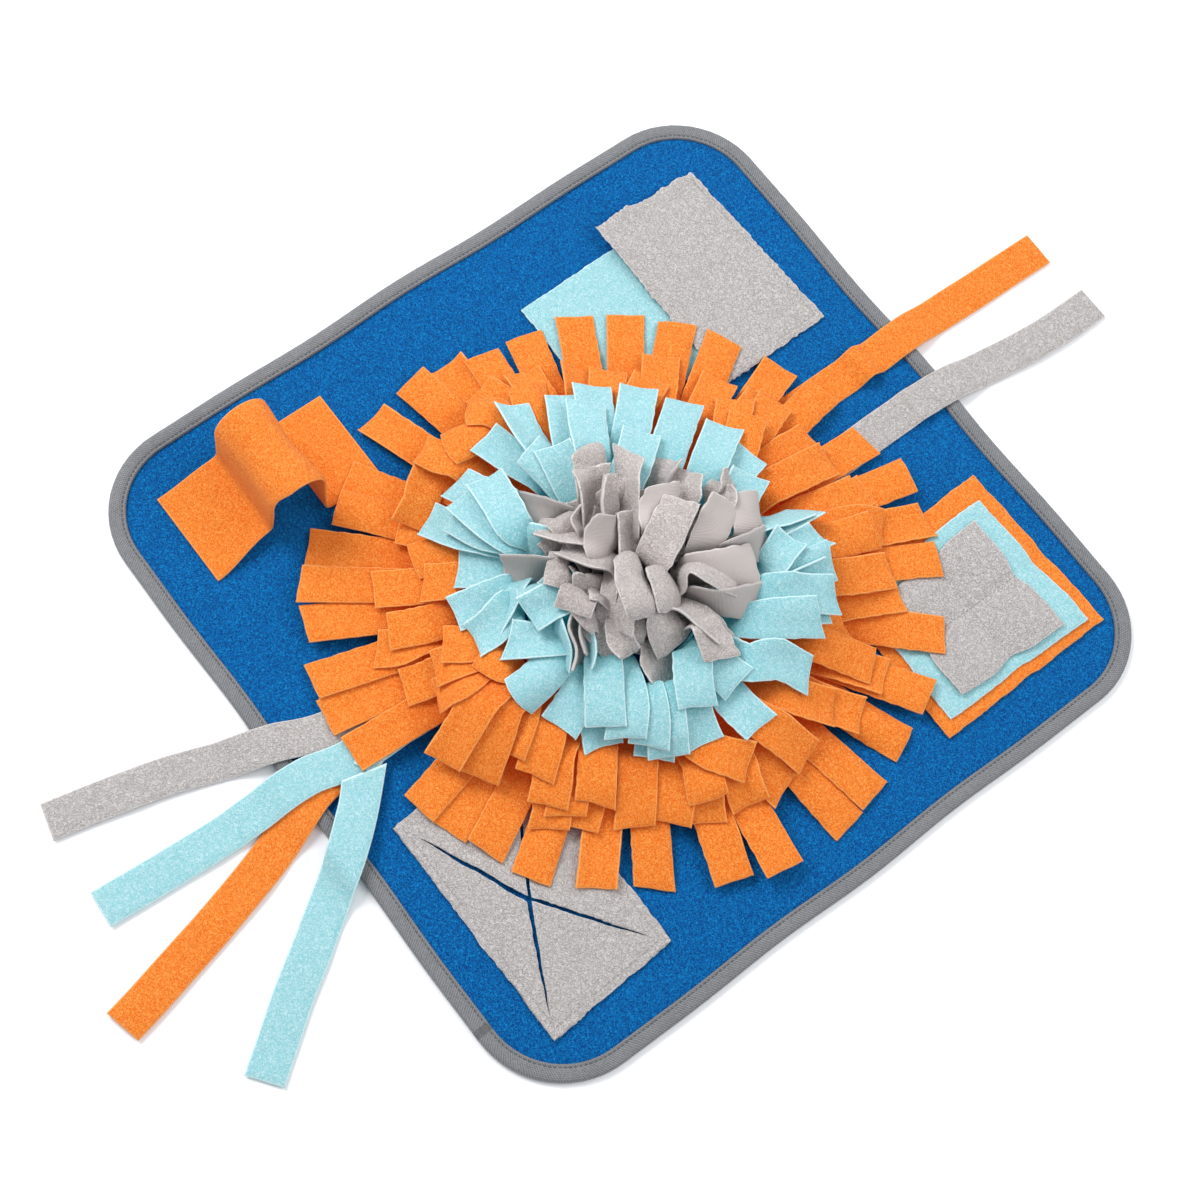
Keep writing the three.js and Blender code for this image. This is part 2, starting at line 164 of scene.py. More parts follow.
class Finish:
    """A material built from nodes. Its shader's plain numbers are set on the shader itself."""

    def __init__(self, name, **plain):
        self.material = bpy.data.materials.new(name)
        self.material.use_nodes = True
        self.tree = self.material.node_tree
        self.shader = self.tree.nodes["Principled BSDF"]
        for socket, number in plain.items():
            self.shader.inputs[socket.replace("_", " ")].default_value = number

    def plug(self, socket, value):
        if isinstance(value, Value):
            self.tree.links.new(value.socket, socket)
        else:
            socket.default_value = value

    def node(self, kind, settings, sockets, out=0):
        made = self.tree.nodes.new(kind)
        for name, setting in settings.items():
            setattr(made, name, setting)
        for name, value in sockets.items():
            self.plug(made.inputs[name], value)
        return Value(self, made.outputs[out])

    def noise(self, scale, detail=2.0, **more):
        place = self.node("ShaderNodeTexCoord", {}, {}, "Object")
        sockets = {"Vector": place, "Scale": scale, "Detail": detail, **more}
        return self.node("ShaderNodeTexNoise", {}, sockets)

    def mark(self, name):
        return self.node("ShaderNodeAttribute", {"attribute_name": name}, {}, "Fac")

    def sine(self, value):
        return self.node("ShaderNodeMath", {"operation": "SINE"}, {0: value})

    def mix(self, share, first, second):
        sockets = {"Factor": share, 6: first, 7: second}
        return self.node("ShaderNodeMix", {"data_type": "RGBA"}, sockets, 2)

    def range(self, value, low, high):
        sockets = {"Value": value, "From Min": low, "From Max": high}
        return self.node("ShaderNodeMapRange", {"interpolation_type": "SMOOTHSTEP"}, sockets)

    def surface(self, color, roughness, height, distance):
        self.plug(self.shader.inputs["Base Color"], color)
        self.plug(self.shader.inputs["Roughness"], roughness)
        sockets = {"Height": height, "Distance": distance * MM, "Strength": 1.0}
        self.plug(self.shader.inputs["Normal"], self.node("ShaderNodeBump", {}, sockets))


def fleece(name, color, deep, pale, grain, pile, contrast, sheen=0.2, painted_glow=(0, 0, 0), ribs=False):
    """Brushed fleece: small grains of pile with painted shade between them and painted highlight on them,
    over its own mottling, and pale cut rims.

    It is painted a deeper colour where it lies deep among other strips, as painted shade, and a faint
    emission in it is painted light that lifts its shade. The other face of some pieces isn't brushed, and
    shows fine ribs across the strip.
    """
    # A faint emission colour is painted light that lifts the shade of the aqua and orange fleece.
    finish = Finish(
        name, Sheen_Weight=sheen, Sheen_Roughness=0.45, Specular_IOR_Level=0.12,
        Emission_Strength=1.0, Emission_Color=(*painted_glow, 1),
    )
    color, deep, pale = (*color, 1), (*deep, 1), (*pale, 1)
    grains = finish.noise(1000 / grain, 1.0, Roughness=0.5, Distortion=1.6)
    fibres = finish.noise(1600, 1.0)
    drift = finish.noise(22)
    height = grains * 0.8 + fibres * 0.2
    hollow_shade = 1 - finish.range(height, 0.40, 0.50)
    crest_highlight = finish.range(height, 0.50, 0.60)
    if ribs:
        ribbed = finish.mark("ribbed")
        rib = finish.sine(finish.mark("along") * 7.5) * 0.5 + 0.5
        plain = 1 - ribbed
        hollow_shade = hollow_shade * plain + (1.7 - rib) * ribbed * 0.3
        crest_highlight = crest_highlight * plain
        height = height * (plain * 0.9 + 0.1) + rib * ribbed * 0.1
    # Painted shade: the colour deepens where a strip lies deep among others, towards its root.
    shown = finish.mix(finish.mark("painted_sunk_shade") * 0.6, color, deep)
    # Painted shade in the grain's hollows and the ribs' grooves, and painted highlight on the grain's crests,
    # laid over the pile's own mottling.
    shown = finish.mix(hollow_shade * (0.8 * contrast), shown, deep)
    shown = finish.mix(crest_highlight * (0.6 * contrast), shown, pale)
    # Pale cut rims: partly the lighter cut fibre, partly a painted highlight where sheen catches the edge.
    shown = finish.mix(finish.range(finish.mark("rim"), 0.25, 0.9) * 0.8, shown, pale)
    finish.surface(shown, 0.88 + drift * 0.1, height + drift * 0.6, pile)
    return finish.material


def mesh(name, points, faces, material, **marks):
    """A piece from points in millimetres, riding on the one body. Marks are its points' values."""
    data = bpy.data.meshes.new(name)
    data.from_pydata(np.asarray(points) * MM, [], faces)
    shaped = bmesh.new()
    shaped.from_mesh(data)
    if shaped.calc_volume(signed=True) < 0:
        bmesh.ops.reverse_faces(shaped, faces=shaped.faces)
        shaped.to_mesh(data)
    shaped.free()
    for attribute, values in marks.items():
        data.attributes.new(attribute, "FLOAT", "POINT").data.foreach_set("value", np.float32(values))
    data.shade_smooth()
    data.materials.append(material)
    piece = bpy.data.objects.new(name, data)
    bpy.context.collection.objects.link(piece)
    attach(piece, "root")
    return piece


def mat_outline(inset, arc_steps=16, side_steps=40):
    """Points round the mat's edge, drawn in by the inset, with its slight waves."""
    half_x, half_y = MAT_WIDTH / 2 - inset, MAT_LENGTH / 2 - inset
    radius = CORNER_RADIUS - inset
    points = []
    for quarter, (sign_x, sign_y) in enumerate(((1, -1), (1, 1), (-1, 1), (-1, -1))):
        centre = sign_x * (half_x - radius), sign_y * (half_y - radius)
        for step in range(arc_steps + 1):
            angle = math.radians(90 * (quarter - 1 + step / arc_steps))
            points.append((centre[0] + radius * math.cos(angle), centre[1] + radius * math.sin(angle)))
        start = points[-1]
        along_y = quarter % 2 == 0
        length = 2 * ((half_y if along_y else half_x) - radius)
        for step in range(1, side_steps):
            share = step / side_steps
            wave = EDGE_WAVE * math.sin(math.pi * share) * math.sin(2 * math.pi * WAVES_PER_SIDE * share)
            if along_y:
                points.append((sign_x * (half_x + wave), start[1] + sign_x * length * share))
            else:
                points.append((start[0] - sign_y * length * share, sign_y * (half_y + wave)))
    return np.array(points)


def rings_of_quads(rings, size, closed=False):
    """Faces between neighbouring rings of points, each ring closed on itself."""
    spans = rings if closed else rings - 1
    faces = []
    for ring in range(spans):
        here, there = ring * size, (ring + 1) % rings * size
        faces += [(here + j, here + (j + 1) % size, there + (j + 1) % size, there + j) for j in range(size)]
    return faces


def base_mat():
    """Points and faces of the base, from the middle of its underside round its edge and over it."""
    side = TAPE_FOLD + GAP
    top_insets = [side + 0.4] + [12 + 18 * k for k in range(12)]
    levels = [(side + 30, 0), (side, 0), (side, MAT_THICKNESS - 0.3)]
    levels += [(inset, MAT_THICKNESS) for inset in top_insets]
    rings = []
    for number, (inset, height) in enumerate(levels):
        flat = mat_outline(min(inset, DEEPEST_INSET))
        if inset > DEEPEST_INSET:
            flat *= 1 - (inset - DEEPEST_INSET) / (MAT_WIDTH / 2)
        swell = SWELL * np.sin(flat[:, 0] / 37 + 1.1) * np.sin(flat[:, 1] / 29 + 0.4) if number > 3 else 0
        rings.append(np.column_stack([flat, np.full(len(flat), float(height)) + swell]))
    size = len(rings[0])
    points = np.vstack(rings)
    faces = rings_of_quads(len(rings), size)
    faces.append(tuple(range(size - 1, -1, -1)))
    faces.append(tuple(range(len(points) - size, len(points))))
    return points, faces


blue_fleece = fleece("blue fleece", *BLUE, grain=1.2, pile=1.6, contrast=0.8, sheen=0.02)
base = mesh("blue_base", *base_mat(), blue_fleece)
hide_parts("base_mat")

# ---------------------------------------------------------------------------------------------
# The binding: a grey knitted tape folded over the mat's edge all the way round, and held by one
# line of machine stitches that sinks in near its inner edge.

TAPE_WIDTH = 11
SEAM_INSET = 8.7
TAPE_SECTION = [  # inset from the mat's edge, height above the floor
    (0.6, 0), (0.05, 0.9), (0, 2.6), (0.35, 3.9), (1.3, 4.65), (3.2, 4.95), (5.6, 5.0), (7.4, 4.85),
    (8.2, 4.35), (SEAM_INSET, 4.0), (9.2, 4.3), (10.1, 4.55), (10.85, 4.1), (TAPE_WIDTH, 2.75),
    (TAPE_FOLD + 0.05, 2.75), (TAPE_FOLD, 0),
]
SEAM_LEVEL = 4.05
TAPE_STEPS = (14, 70)  # round each corner and along each side
TAPE_GREY, TAPE_DEEP = (0.26, 0.267, 0.28), (0.11, 0.114, 0.122)


def tape(name, color, deep):
    """Knitted tape: fine wales along its length, a soft nap and small uneven dark spots."""
    finish = Finish(name, Sheen_Weight=0.2, Sheen_Roughness=0.5, Specular_IOR_Level=0.2)
    nap = finish.noise(900)
    drift = finish.noise(60)
    inset = finish.mark("inset")
    wales = finish.sine(inset * 5.2)
    courses = finish.sine(finish.mark("along") * 3.6 + inset * 2.6)
    height = nap * 0.7 + wales * 0.12 + courses * 0.16
    shade = finish.range(height, 0.1, 0.62)
    shown = finish.mix(shade * 0.75 + drift * 0.25, (*deep, 1), (*color, 1))
    finish.surface(shown, 0.85 + drift * 0.1, height, 0.45)
    return finish.material


def round_the_edge():
    """The tape's points, and how far each is in from the edge and along it."""
    outlines = [mat_outline(inset, *TAPE_STEPS) for inset, _ in TAPE_SECTION]
    count = len(outlines[0])
    steps = np.linalg.norm(np.roll(outlines[0], -1, 0) - outlines[0], axis=1)
    distance = np.cumsum(steps) - steps
    puckers = 0.18 * np.sin(distance / 2.1) * np.sin(distance / 31)
    points = np.zeros((count, len(TAPE_SECTION), 3))
    for number, (outline, (_, height)) in enumerate(zip(outlines, TAPE_SECTION)):
        points[:, number, :2] = outline
        points[:, number, 2] = height + (puckers if height > 3 else 0)
    insets = np.tile([inset for inset, _ in TAPE_SECTION], count)
    return points, insets, np.repeat(distance, len(TAPE_SECTION))


def lengths_along(line):
    """How far along a line of points each of them lies."""
    return np.concatenate([[0], np.cumsum(np.linalg.norm(np.diff(line, axis=0), axis=1))])


def places_at(stations, lengths, line):
    """The places at those lengths along a line of points."""
    return np.column_stack([np.interp(stations, lengths, column) for column in line.T])


def unit(vectors):
    """The vectors, each brought to a length of one."""
    return vectors / np.linalg.norm(vectors, axis=1)[:, None]


def evenly(line, pitch):
    """Points at an even pitch along a line of points, and the line's directions there."""
    lengths = lengths_along(line)
    stations = np.arange(pitch / 2, lengths[-1], pitch)
    ahead, behind = places_at(stations + 0.5, lengths, line), places_at(stations - 0.5, lengths, line)
    return places_at(stations, lengths, line), unit(ahead - behind)


def stitches(name, lines, material, pitch=3.4, length=2.4, thick=0.24):
    """Short arched stitches of thread along lines of points on the cloth."""
    sections, sides = 6, 6
    rolls = np.arange(sides) * 2 * math.pi / sides
    spans = np.linspace(-1, 1, sections)
    points, faces = [], []
    for line in lines:
        for place, direction in zip(*evenly(line, pitch)):
            side = np.cross(direction, (0, 0, 1))
            rise = np.cross(side, direction)
            first = len(points)
            for span in spans:
                girth = thick * (1 - 0.75 * span ** 4)
                centre = place + direction * span * length / 2 + rise * (0.35 - 0.6 * span ** 2) * thick * 1.6
                points += [centre + girth * (math.cos(roll) * side + math.sin(roll) * rise) for roll in rolls]
            faces += [tuple(first + number for number in face) for face in rings_of_quads(sections, sides)]
            faces.append(tuple(range(first + sides - 1, first - 1, -1)))
            faces.append(tuple(range(len(points) - sides, len(points))))
    thread = mesh(name, points, faces, material)
    return thread


def thread_finish(name, color):
    """Spun thread, twisted and matt."""
    finish = Finish(name, Specular_IOR_Level=0.3)
    twist = finish.noise(2500)
    dark = tuple(channel * 0.6 for channel in color)
    finish.surface(finish.mix(twist, (*dark, 1), (*color, 1)), 0.7 + twist * 0.2, twist, 0.2)
    return finish.material


tape_points, tape_insets, tape_along = round_the_edge()
tape_rings = tape_points.shape[:2]
binding = mesh(
    "grey_binding", tape_points.reshape(-1, 3), rings_of_quads(*tape_rings, closed=True),
    tape("grey tape", TAPE_GREY, TAPE_DEEP), inset=tape_insets, along=tape_along,
)
seam_line = np.column_stack([mat_outline(SEAM_INSET, *TAPE_STEPS), np.full(tape_rings[0], SEAM_LEVEL)])
tape_thread = thread_finish("tape thread", (0.1, 0.1, 0.108))
binding_seam = stitches("binding_seam", [seam_line], tape_thread, 3.1, 2.5, 0.3)
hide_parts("binding")

# ---------------------------------------------------------------------------------------------
# The pocket: a piece of aqua fleece laid on the mat, which is sewn down close to its edges, though its
# stitches aren't drawn. Half of it lies under the flap.

AQUA = [(0.32, 0.54, 0.58), (0.12, 0.44, 0.49), (0.66, 0.82, 0.83)]
POCKET_CORNERS = [(-184, 55), (-80, 54), (-80, 148), (-185, 145)]
FLEECE = 1.8
LYING = MAT_TOP + FLEECE / 2 + 0.1  # height of the middle of fleece that lies on the mat
CUT_EDGE = 1.3
SEAM_FROM_EDGE = 5
GROUND_HALF = 300
ground = np.full((2 * GROUND_HALF + 1, 2 * GROUND_HALF + 1), float(MAT_TOP))


def smooth(value):
    value = np.clip(value, 0, 1)
    return value * value * (3 - 2 * value)


def ripple(first, second, length, seed):
    """Slow unevenness from -1 to 1 over two measures, the same for the same seed."""
    draw = np.random.default_rng(seed)
    total = 0
    for _ in range(4):
        turn, phase = draw.uniform(0, 2 * math.pi, 2)
        reach = draw.uniform(0.7, 1.5) * length
        along = first * math.cos(turn) + second * math.sin(turn)
        total = total + np.sin(along * 2 * math.pi / reach + phase)
    return total / 4


def cloth(middle, ring=False, side=None, along=None, shares=None, fray=0.0):
    """A closed sheet about a grid of middle points: its points, faces and marks.

    Its rounded cut edges are marked as its rim, which the fleece paints pale, partly as lighter cut fibre and
    partly as a painted highlight; they are uneven by the fray. Where a side is given, 1 marks its ribbed
    face. A strip's shares along it mark how deep in the flower each row lies, which sets the painted shade
    deepening its colour there.
    """
    rows, columns = middle.shape[:2]
    tangent = np.roll(middle, -1, 0) - np.roll(middle, 1, 0) if ring else np.gradient(middle, axis=0)
    normal = np.cross(tangent, np.gradient(middle, axis=1))
    normal /= np.linalg.norm(normal, axis=2)[..., None] + 1e-9
    inner = middle.copy()
    inner[:, 0], inner[:, -1] = middle[:, 1], middle[:, -2]
    if not ring:
        inner[0], inner[-1] = inner[1], inner[-2]
    inwards = inner - middle
    inwards /= np.linalg.norm(inwards, axis=2)[..., None] + 1e-9
    edge = np.zeros((rows, columns))
    edge[:, [0, -1]] = 1
    if not ring:
        edge[[0, -1]] = 1
    rounded = (1 - 0.42 * edge)[..., None] * normal * FLEECE / 2
    cut = 0.4 + fray * np.random.default_rng(rows * columns).uniform(-1, 1, (rows, columns))
    drawn_in = middle + (cut * edge)[..., None] * inwards
    index = np.arange(rows * columns).reshape(rows, columns)
    looped = np.vstack([index, index[:1]]) if ring else index
    quads = [looped[:-1, :-1], looped[1:, :-1], looped[1:, 1:], looped[:-1, 1:]]
    over = np.stack(quads, -1).reshape(-1, 4)
    under = over[:, ::-1] + rows * columns
    if ring:
        borders = [index[:, 0], index[::-1, -1]]
    else:
        borders = [np.concatenate([index[:, 0], index[-1, 1:], index[-2::-1, -1], index[0, -2:0:-1]])]
    points = [(drawn_in + rounded).reshape(-1, 3), (drawn_in - rounded).reshape(-1, 3)]
    faces = [over, under]
    first = 2 * rows * columns
    for border in borders:
        rim = first + np.arange(len(border))
        ahead, rim_ahead = np.roll(border, -1), np.roll(rim, -1)
        faces.append(np.stack([border, rim, rim_ahead, ahead], -1))
        faces.append(np.stack([rim, border + rows * columns, ahead + rows * columns, rim_ahead], -1))
        points.append((middle + ((cut - 0.4) * edge)[..., None] * inwards).reshape(-1, 3)[border])
        first += len(border)
    face = rows * columns
    painted_sunk_shade = np.zeros(rows) if shares is None else 1 - smooth((shares - 0.3) / 0.45)
    painted_sunk_shade = np.repeat(painted_sunk_shade, columns)
    marks = {
        "rim": np.concatenate([edge.ravel(), edge.ravel(), np.ones(first - 2 * face)]),
        "painted_sunk_shade": np.concatenate([painted_sunk_shade, painted_sunk_shade, *(painted_sunk_shade[border] for border in borders)]),
    }
    if side is not None:
        sides = [np.full(face, side), np.full(face, 1 - side), np.zeros(first - 2 * face)]
        marks["ribbed"] = np.concatenate(sides)
        far = np.repeat(np.zeros(rows) if along is None else along, columns)
        marks["along"] = np.concatenate([far, far, *(far[border] for border in borders)])
    return np.vstack(points), np.vstack(faces).tolist(), marks


def cut_positions(low, high, count, edge=CUT_EDGE):
    """Grid positions from low to high, with one close to each cut edge."""
    return np.concatenate([[low], np.linspace(low + edge, high - edge, count), [high]])


def four_sided(corners, columns, rows):
    """Plan of a piece cut between four corners, in the order near left, near right and on round."""
    corners = np.array(corners, float)
    width = np.linalg.norm(corners[1] - corners[0])
    length = np.linalg.norm(corners[3] - corners[0])
    u = cut_positions(0, width, columns)[:, None, None] / width
    v = cut_positions(0, length, rows)[None, :, None] / length
    near = corners[0] + (corners[1] - corners[0]) * u
    far = corners[3] + (corners[2] - corners[3]) * u
    return near + (far - near) * v


def spread(grid, times=4):
    """The grid of points with more points between them."""
    for _ in range(2):
        steps = np.linspace(0, len(grid) - 1, times * (len(grid) - 1) + 1)
        whole = np.minimum(steps.astype(int), len(grid) - 2)
        share = (steps - whole)[:, None, None]
        grid = np.swapaxes(grid[whole] * (1 - share) + grid[whole + 1] * share, 0, 1)
    return grid


def cells(x, y):
    """Cells of the ground under those places."""
    column = np.clip(np.rint(x).astype(int) + GROUND_HALF, 1, 2 * GROUND_HALF - 1)
    row = np.clip(np.rint(y).astype(int) + GROUND_HALF, 1, 2 * GROUND_HALF - 1)
    return column, row


def lay(middle):
    """Raises the ground to the top of a piece that now lies there."""
    fine = spread(middle)
    column, row = cells(fine[..., 0], fine[..., 1])
    np.maximum.at(ground, (column, row), fine[..., 2] + FLEECE / 2)


def ground_under(x, y):
    """The highest ground within a cell of each place."""
    column, row = cells(x, y)
    return np.max([ground[column + i, row + j] for i in (-1, 0, 1) for j in (-1, 0, 1)], axis=0)


def plan_and_height(plan, height):
    """A grid of points from its plan and its heights."""
    return np.concatenate([plan, height[..., None]], axis=2)


def shifted(plan, reach, first, second):
    """A plan whose points are moved a little. Each of first and second is a length and a seed."""
    x, y = plan[..., 0], plan[..., 1]
    return plan + reach * np.stack([ripple(y, x, *first), ripple(x, y, *second)], -1)


def joined(sheets):
    """Several sheets as one mesh: points, faces and marks."""
    points, faces = [], []
    marks = {mark: [] for mark in sheets[0][2]}
    count = 0
    for sheet_points, sheet_faces, sheet_marks in sheets:
        faces += [tuple(count + number for number in face) for face in sheet_faces]
        points.append(sheet_points)
        for mark, values in sheet_marks.items():
            marks[mark].append(values)
        count += len(sheet_points)
    return np.vstack(points), faces, {mark: np.concatenate(values) for mark, values in marks.items()}


def cloth_piece(name, node, material, slot, *sheets):
    """A piece made of closed sheets, with the part that it stands for. Its slot is not used."""
    points, faces, marks = joined(sheets)
    piece = mesh(name, points, faces, material, **marks)
    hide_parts(node)
    return piece


pocket_plan = four_sided(POCKET_CORNERS, 40, 36)
pocket_swell = 0.7 * (1 + ripple(pocket_plan[..., 0], pocket_plan[..., 1], 60, 3))
pocket_middle = plan_and_height(shifted(pocket_plan, 0.8, (30, 1), (34, 2)), LYING + pocket_swell)
aqua_fleece = fleece("aqua fleece", *AQUA, grain=1.5, pile=0.9, contrast=0.5, painted_glow=(0, 0.04, 0.05))
pocket_sheet = cloth(pocket_middle, fray=0.4)
pocket = cloth_piece("aqua_pocket", "pocket_aqua", aqua_fleece, "aqua_fleece", pocket_sheet)
lay(pocket_middle)

# ---------------------------------------------------------------------------------------------
# The flap: a larger piece of grey fleece that covers the pocket's mouth. It is sewn along its
# far and right sides. Its left side is stretched and wavy, and its near edge stands a little open.

GREY = [(0.49, 0.465, 0.455), (0.27, 0.245, 0.235), (0.72, 0.69, 0.68)]
FLAP_CORNERS = [(-202, 129), (-62, 132), (-64, 218), (-201, 212)]
FLAP_FAR, FLAP_RIGHT, FLAP_LEFT = 215, -63, -202
FLAP_SEAM = [(-197, 208), (-69, 213), (-67, 136)]
FLAP_OPEN = 70
POCKET_END = 168  # the flap rises over the pocket nearer than this
FLAP_LIFT = 5.0
SEW_MARGIN = 14


def line_between(start, end, middle, steps=60):
    """Points on a straight line in plan, at the height of the cloth's top there."""
    shares = np.linspace(0, 1, steps)[:, None]
    plan = np.array(start, float) * (1 - shares) + np.array(end, float) * shares
    flat = middle.reshape(-1, 3)
    nearest = [np.argmin(np.hypot(flat[:, 0] - x, flat[:, 1] - y)) for x, y in plan]
    heights = flat[nearest, 2] + FLEECE / 2
    kernel = np.ones(5) / 5
    heights = np.convolve(np.pad(heights, 2, mode="edge"), kernel, mode="valid")
    return np.column_stack([plan, heights])


def sunk_seam(distance, depth=0.7, half=2.2):
    """How far the cloth is pulled down beside a line of stitches."""
    return depth * (1 - smooth(np.abs(distance) / half))


flap_plan = four_sided(FLAP_CORNERS, 64, 44)
flap_x, flap_y = flap_plan[..., 0], flap_plan[..., 1]
from_far = FLAP_FAR - flap_y
from_right = FLAP_RIGHT - flap_x
from_left = flap_x - FLAP_LEFT
stretched = 1 - smooth(from_left / 16)
open_share = smooth((from_far - SEW_MARGIN) / FLAP_OPEN)
corner_share = smooth((from_right - SEW_MARGIN) / 110)
bulge = stretched * (1.6 + 1.4 * ripple(flap_y, 0 * flap_y, 26, 12)) * smooth(from_far / 20)
over_pocket = (FLEECE + GAP) * smooth((POCKET_END - flap_y) / 10) * smooth((from_right + 4) / 9)
flap_height = LYING + over_pocket + open_share * (0.8 + FLAP_LIFT * corner_share ** 2) + bulge
flap_height = flap_height + 0.35 * (1 + ripple(flap_x, flap_y, 45, 13))
flap_height = flap_height - sunk_seam(from_far - SEAM_FROM_EDGE) - sunk_seam(from_right - SEAM_FROM_EDGE)
flap_height = np.maximum(flap_height, ground_under(flap_x, flap_y) + FLEECE / 2 + 0.1)
edge_waves = stretched * 1.3 * ripple(flap_y, 0 * flap_y, 17, 14)
moved_x, moved_y = 0.6 * ripple(flap_y, flap_x, 33, 15), 0.7 * ripple(flap_x, flap_y, 29, 16)
flap_middle = plan_and_height(flap_plan + np.stack([edge_waves + moved_x, moved_y], -1), flap_height)
grey_fleece = fleece("grey fleece", *GREY, grain=1.5, pile=1.8, contrast=0.6)
flap_sheet = cloth(flap_middle, fray=0.6)
flap = cloth_piece("grey_flap", "flap_grey", grey_fleece, "grey_fleece", flap_sheet)
lay(flap_middle)
grey_thread = thread_finish("grey thread", (0.40, 0.38, 0.37))
flap_lines = [line_between(start, end, flap_middle) for start, end in zip(FLAP_SEAM, FLAP_SEAM[1:])]
flap_seam = stitches("flap_seam", flap_lines, grey_thread)

# ---------------------------------------------------------------------------------------------
# The slit patch: grey fleece sewn to the mat round its four sides. Two crossed slits run from
# corner to corner, so food can be pushed under the four loose triangles between them.

PATCH_CORNERS = [(52, -218), (213, -217), (207, -124), (43, -123)]
SLIT_TIPS = [(63, -210), (201, -211), (199, -132), (56, -131)]
SLIT_APEXES = [(136.5, -180), (137.4, -177.6), (135.8, -176.4), (134.6, -177.8)]
TRIANGLE_LIFTS = [1.6, 0.6, 1.2, 2.4]
PATCH_SEAM = [(58, -213), (207, -212), (202, -129), (49, -128)]
PATCH_DEPTH = 45  # from its sides in to its slits, on average
PATCH_STEPS = 30
PATCH_BANDS = 18
SLIT_BOW = 0.4


def patch_plan():
    """A ring of cloth from the patch's four sides in to the edges of its slits."""
    corners, tips, apexes = (np.array(spots, float) for spots in (PATCH_CORNERS, SLIT_TIPS, SLIT_APEXES))
    outer, inner, lifts = [], [], []
    for side in range(4):
        ahead = (side + 1) % 4
        for share in np.arange(2 * PATCH_STEPS) / (2 * PATCH_STEPS):
            outer.append(corners[side] + (corners[ahead] - corners[side]) * share)
            near_end = tips[side] if share < 0.5 else tips[ahead]
            towards_apex = 1 - abs(2 * share - 1)
            spot = near_end + (apexes[side] - near_end) * towards_apex
            outward = spot - np.mean(apexes, axis=0)
            outward = np.array([outward[1], -outward[0]]) / (np.linalg.norm(outward) + 1)
            turned = -1 if share < 0.5 else 1
            inner.append(spot + turned * SLIT_BOW * math.sin(math.pi * towards_apex) * outward)
            lifts.append(TRIANGLE_LIFTS[side] * towards_apex)
    bands = cut_positions(0, PATCH_DEPTH, PATCH_BANDS)[None, :, None] / PATCH_DEPTH
    outer, inner = np.array(outer)[:, None], np.array(inner)[:, None]
    return outer + (inner - outer) * bands, np.array(lifts)[:, None] * bands[..., 0] ** 2


def from_sides(x, y, corners):
    """Distance in from the nearest side of a four-sided piece."""
    gaps = []
    for number, (ax, ay) in enumerate(corners):
        bx, by = corners[(number + 1) % 4]
        gaps.append(((bx - ax) * (y - ay) - (by - ay) * (x - ax)) / math.hypot(bx - ax, by - ay))
    return np.min(gaps, axis=0)


plan, lifts = patch_plan()
x, y = plan[..., 0], plan[..., 1]
from_edge = from_sides(x, y, PATCH_CORNERS)
patch_height = LYING + lifts + 0.55 * (1 + ripple(x, y, 48, 21)) * smooth(from_edge / 12)
patch_height = patch_height + 0.4 - sunk_seam(from_edge - SEAM_FROM_EDGE, depth=0.4)
patch_middle = plan_and_height(shifted(plan, 0.6, (27, 22), (24, 23)), patch_height)
patch_sheet = cloth(patch_middle, ring=True, fray=0.4)
patch = cloth_piece("grey_slit_patch", "slit_patch", grey_fleece, "grey_fleece", patch_sheet)
lay(patch_middle)
patch_sides = zip(PATCH_SEAM, PATCH_SEAM[1:] + PATCH_SEAM[:1])
patch_lines = [line_between(start, end, patch_middle, steps=90) for start, end in patch_sides]
patch_seam = stitches("slit_patch_seam", patch_lines, grey_thread)

# ---------------------------------------------------------------------------------------------
# The pages: three smaller and smaller pieces of fleece, orange, aqua and grey, stacked and held
# down by one cross of stitches. Their free edges puff up into four pillows.

ORANGE = [(0.74, 0.225, 0.03), (0.62, 0.085, 0.004), (0.86, 0.38, 0.11)]
PAGE_CENTRE = (152, 161)
PUFF_REACH = 30
PINCH_REACH = 15
EDGE_PINCH = (0.8, 1.6, 2.6)  # how far each page's edges are drawn in at the ends of the cross
PAGE_CROSS = [((152, 119), (152, 201)), ((113, 161), (194, 161))]
orange_fleece = fleece(
    "orange fleece", *ORANGE, grain=1.2, pile=1.0, contrast=0.8, sheen=0.05, painted_glow=(0.09, 0.006, 0),
)
DYED_FLEECE = {"grey": grey_fleece, "orange": orange_fleece, "aqua": aqua_fleece}
PAGES = [  # colour, corners, puff
    ("orange", [(85, 97), (210, 95), (208, 229), (82, 225)], 0.9),
    ("aqua", [(99, 105), (201, 103), (202, 220), (98, 215)], 1.8),
    ("grey", [(115, 118), (194, 118), (196, 203), (107, 202)], 4.2),
]


def cross_share(distance):
    """From 0 on a line of the cross to 1 well away from it."""
    return 0.55 * smooth(np.abs(distance) / PUFF_REACH) + 0.45 * smooth(np.abs(distance) / 7)


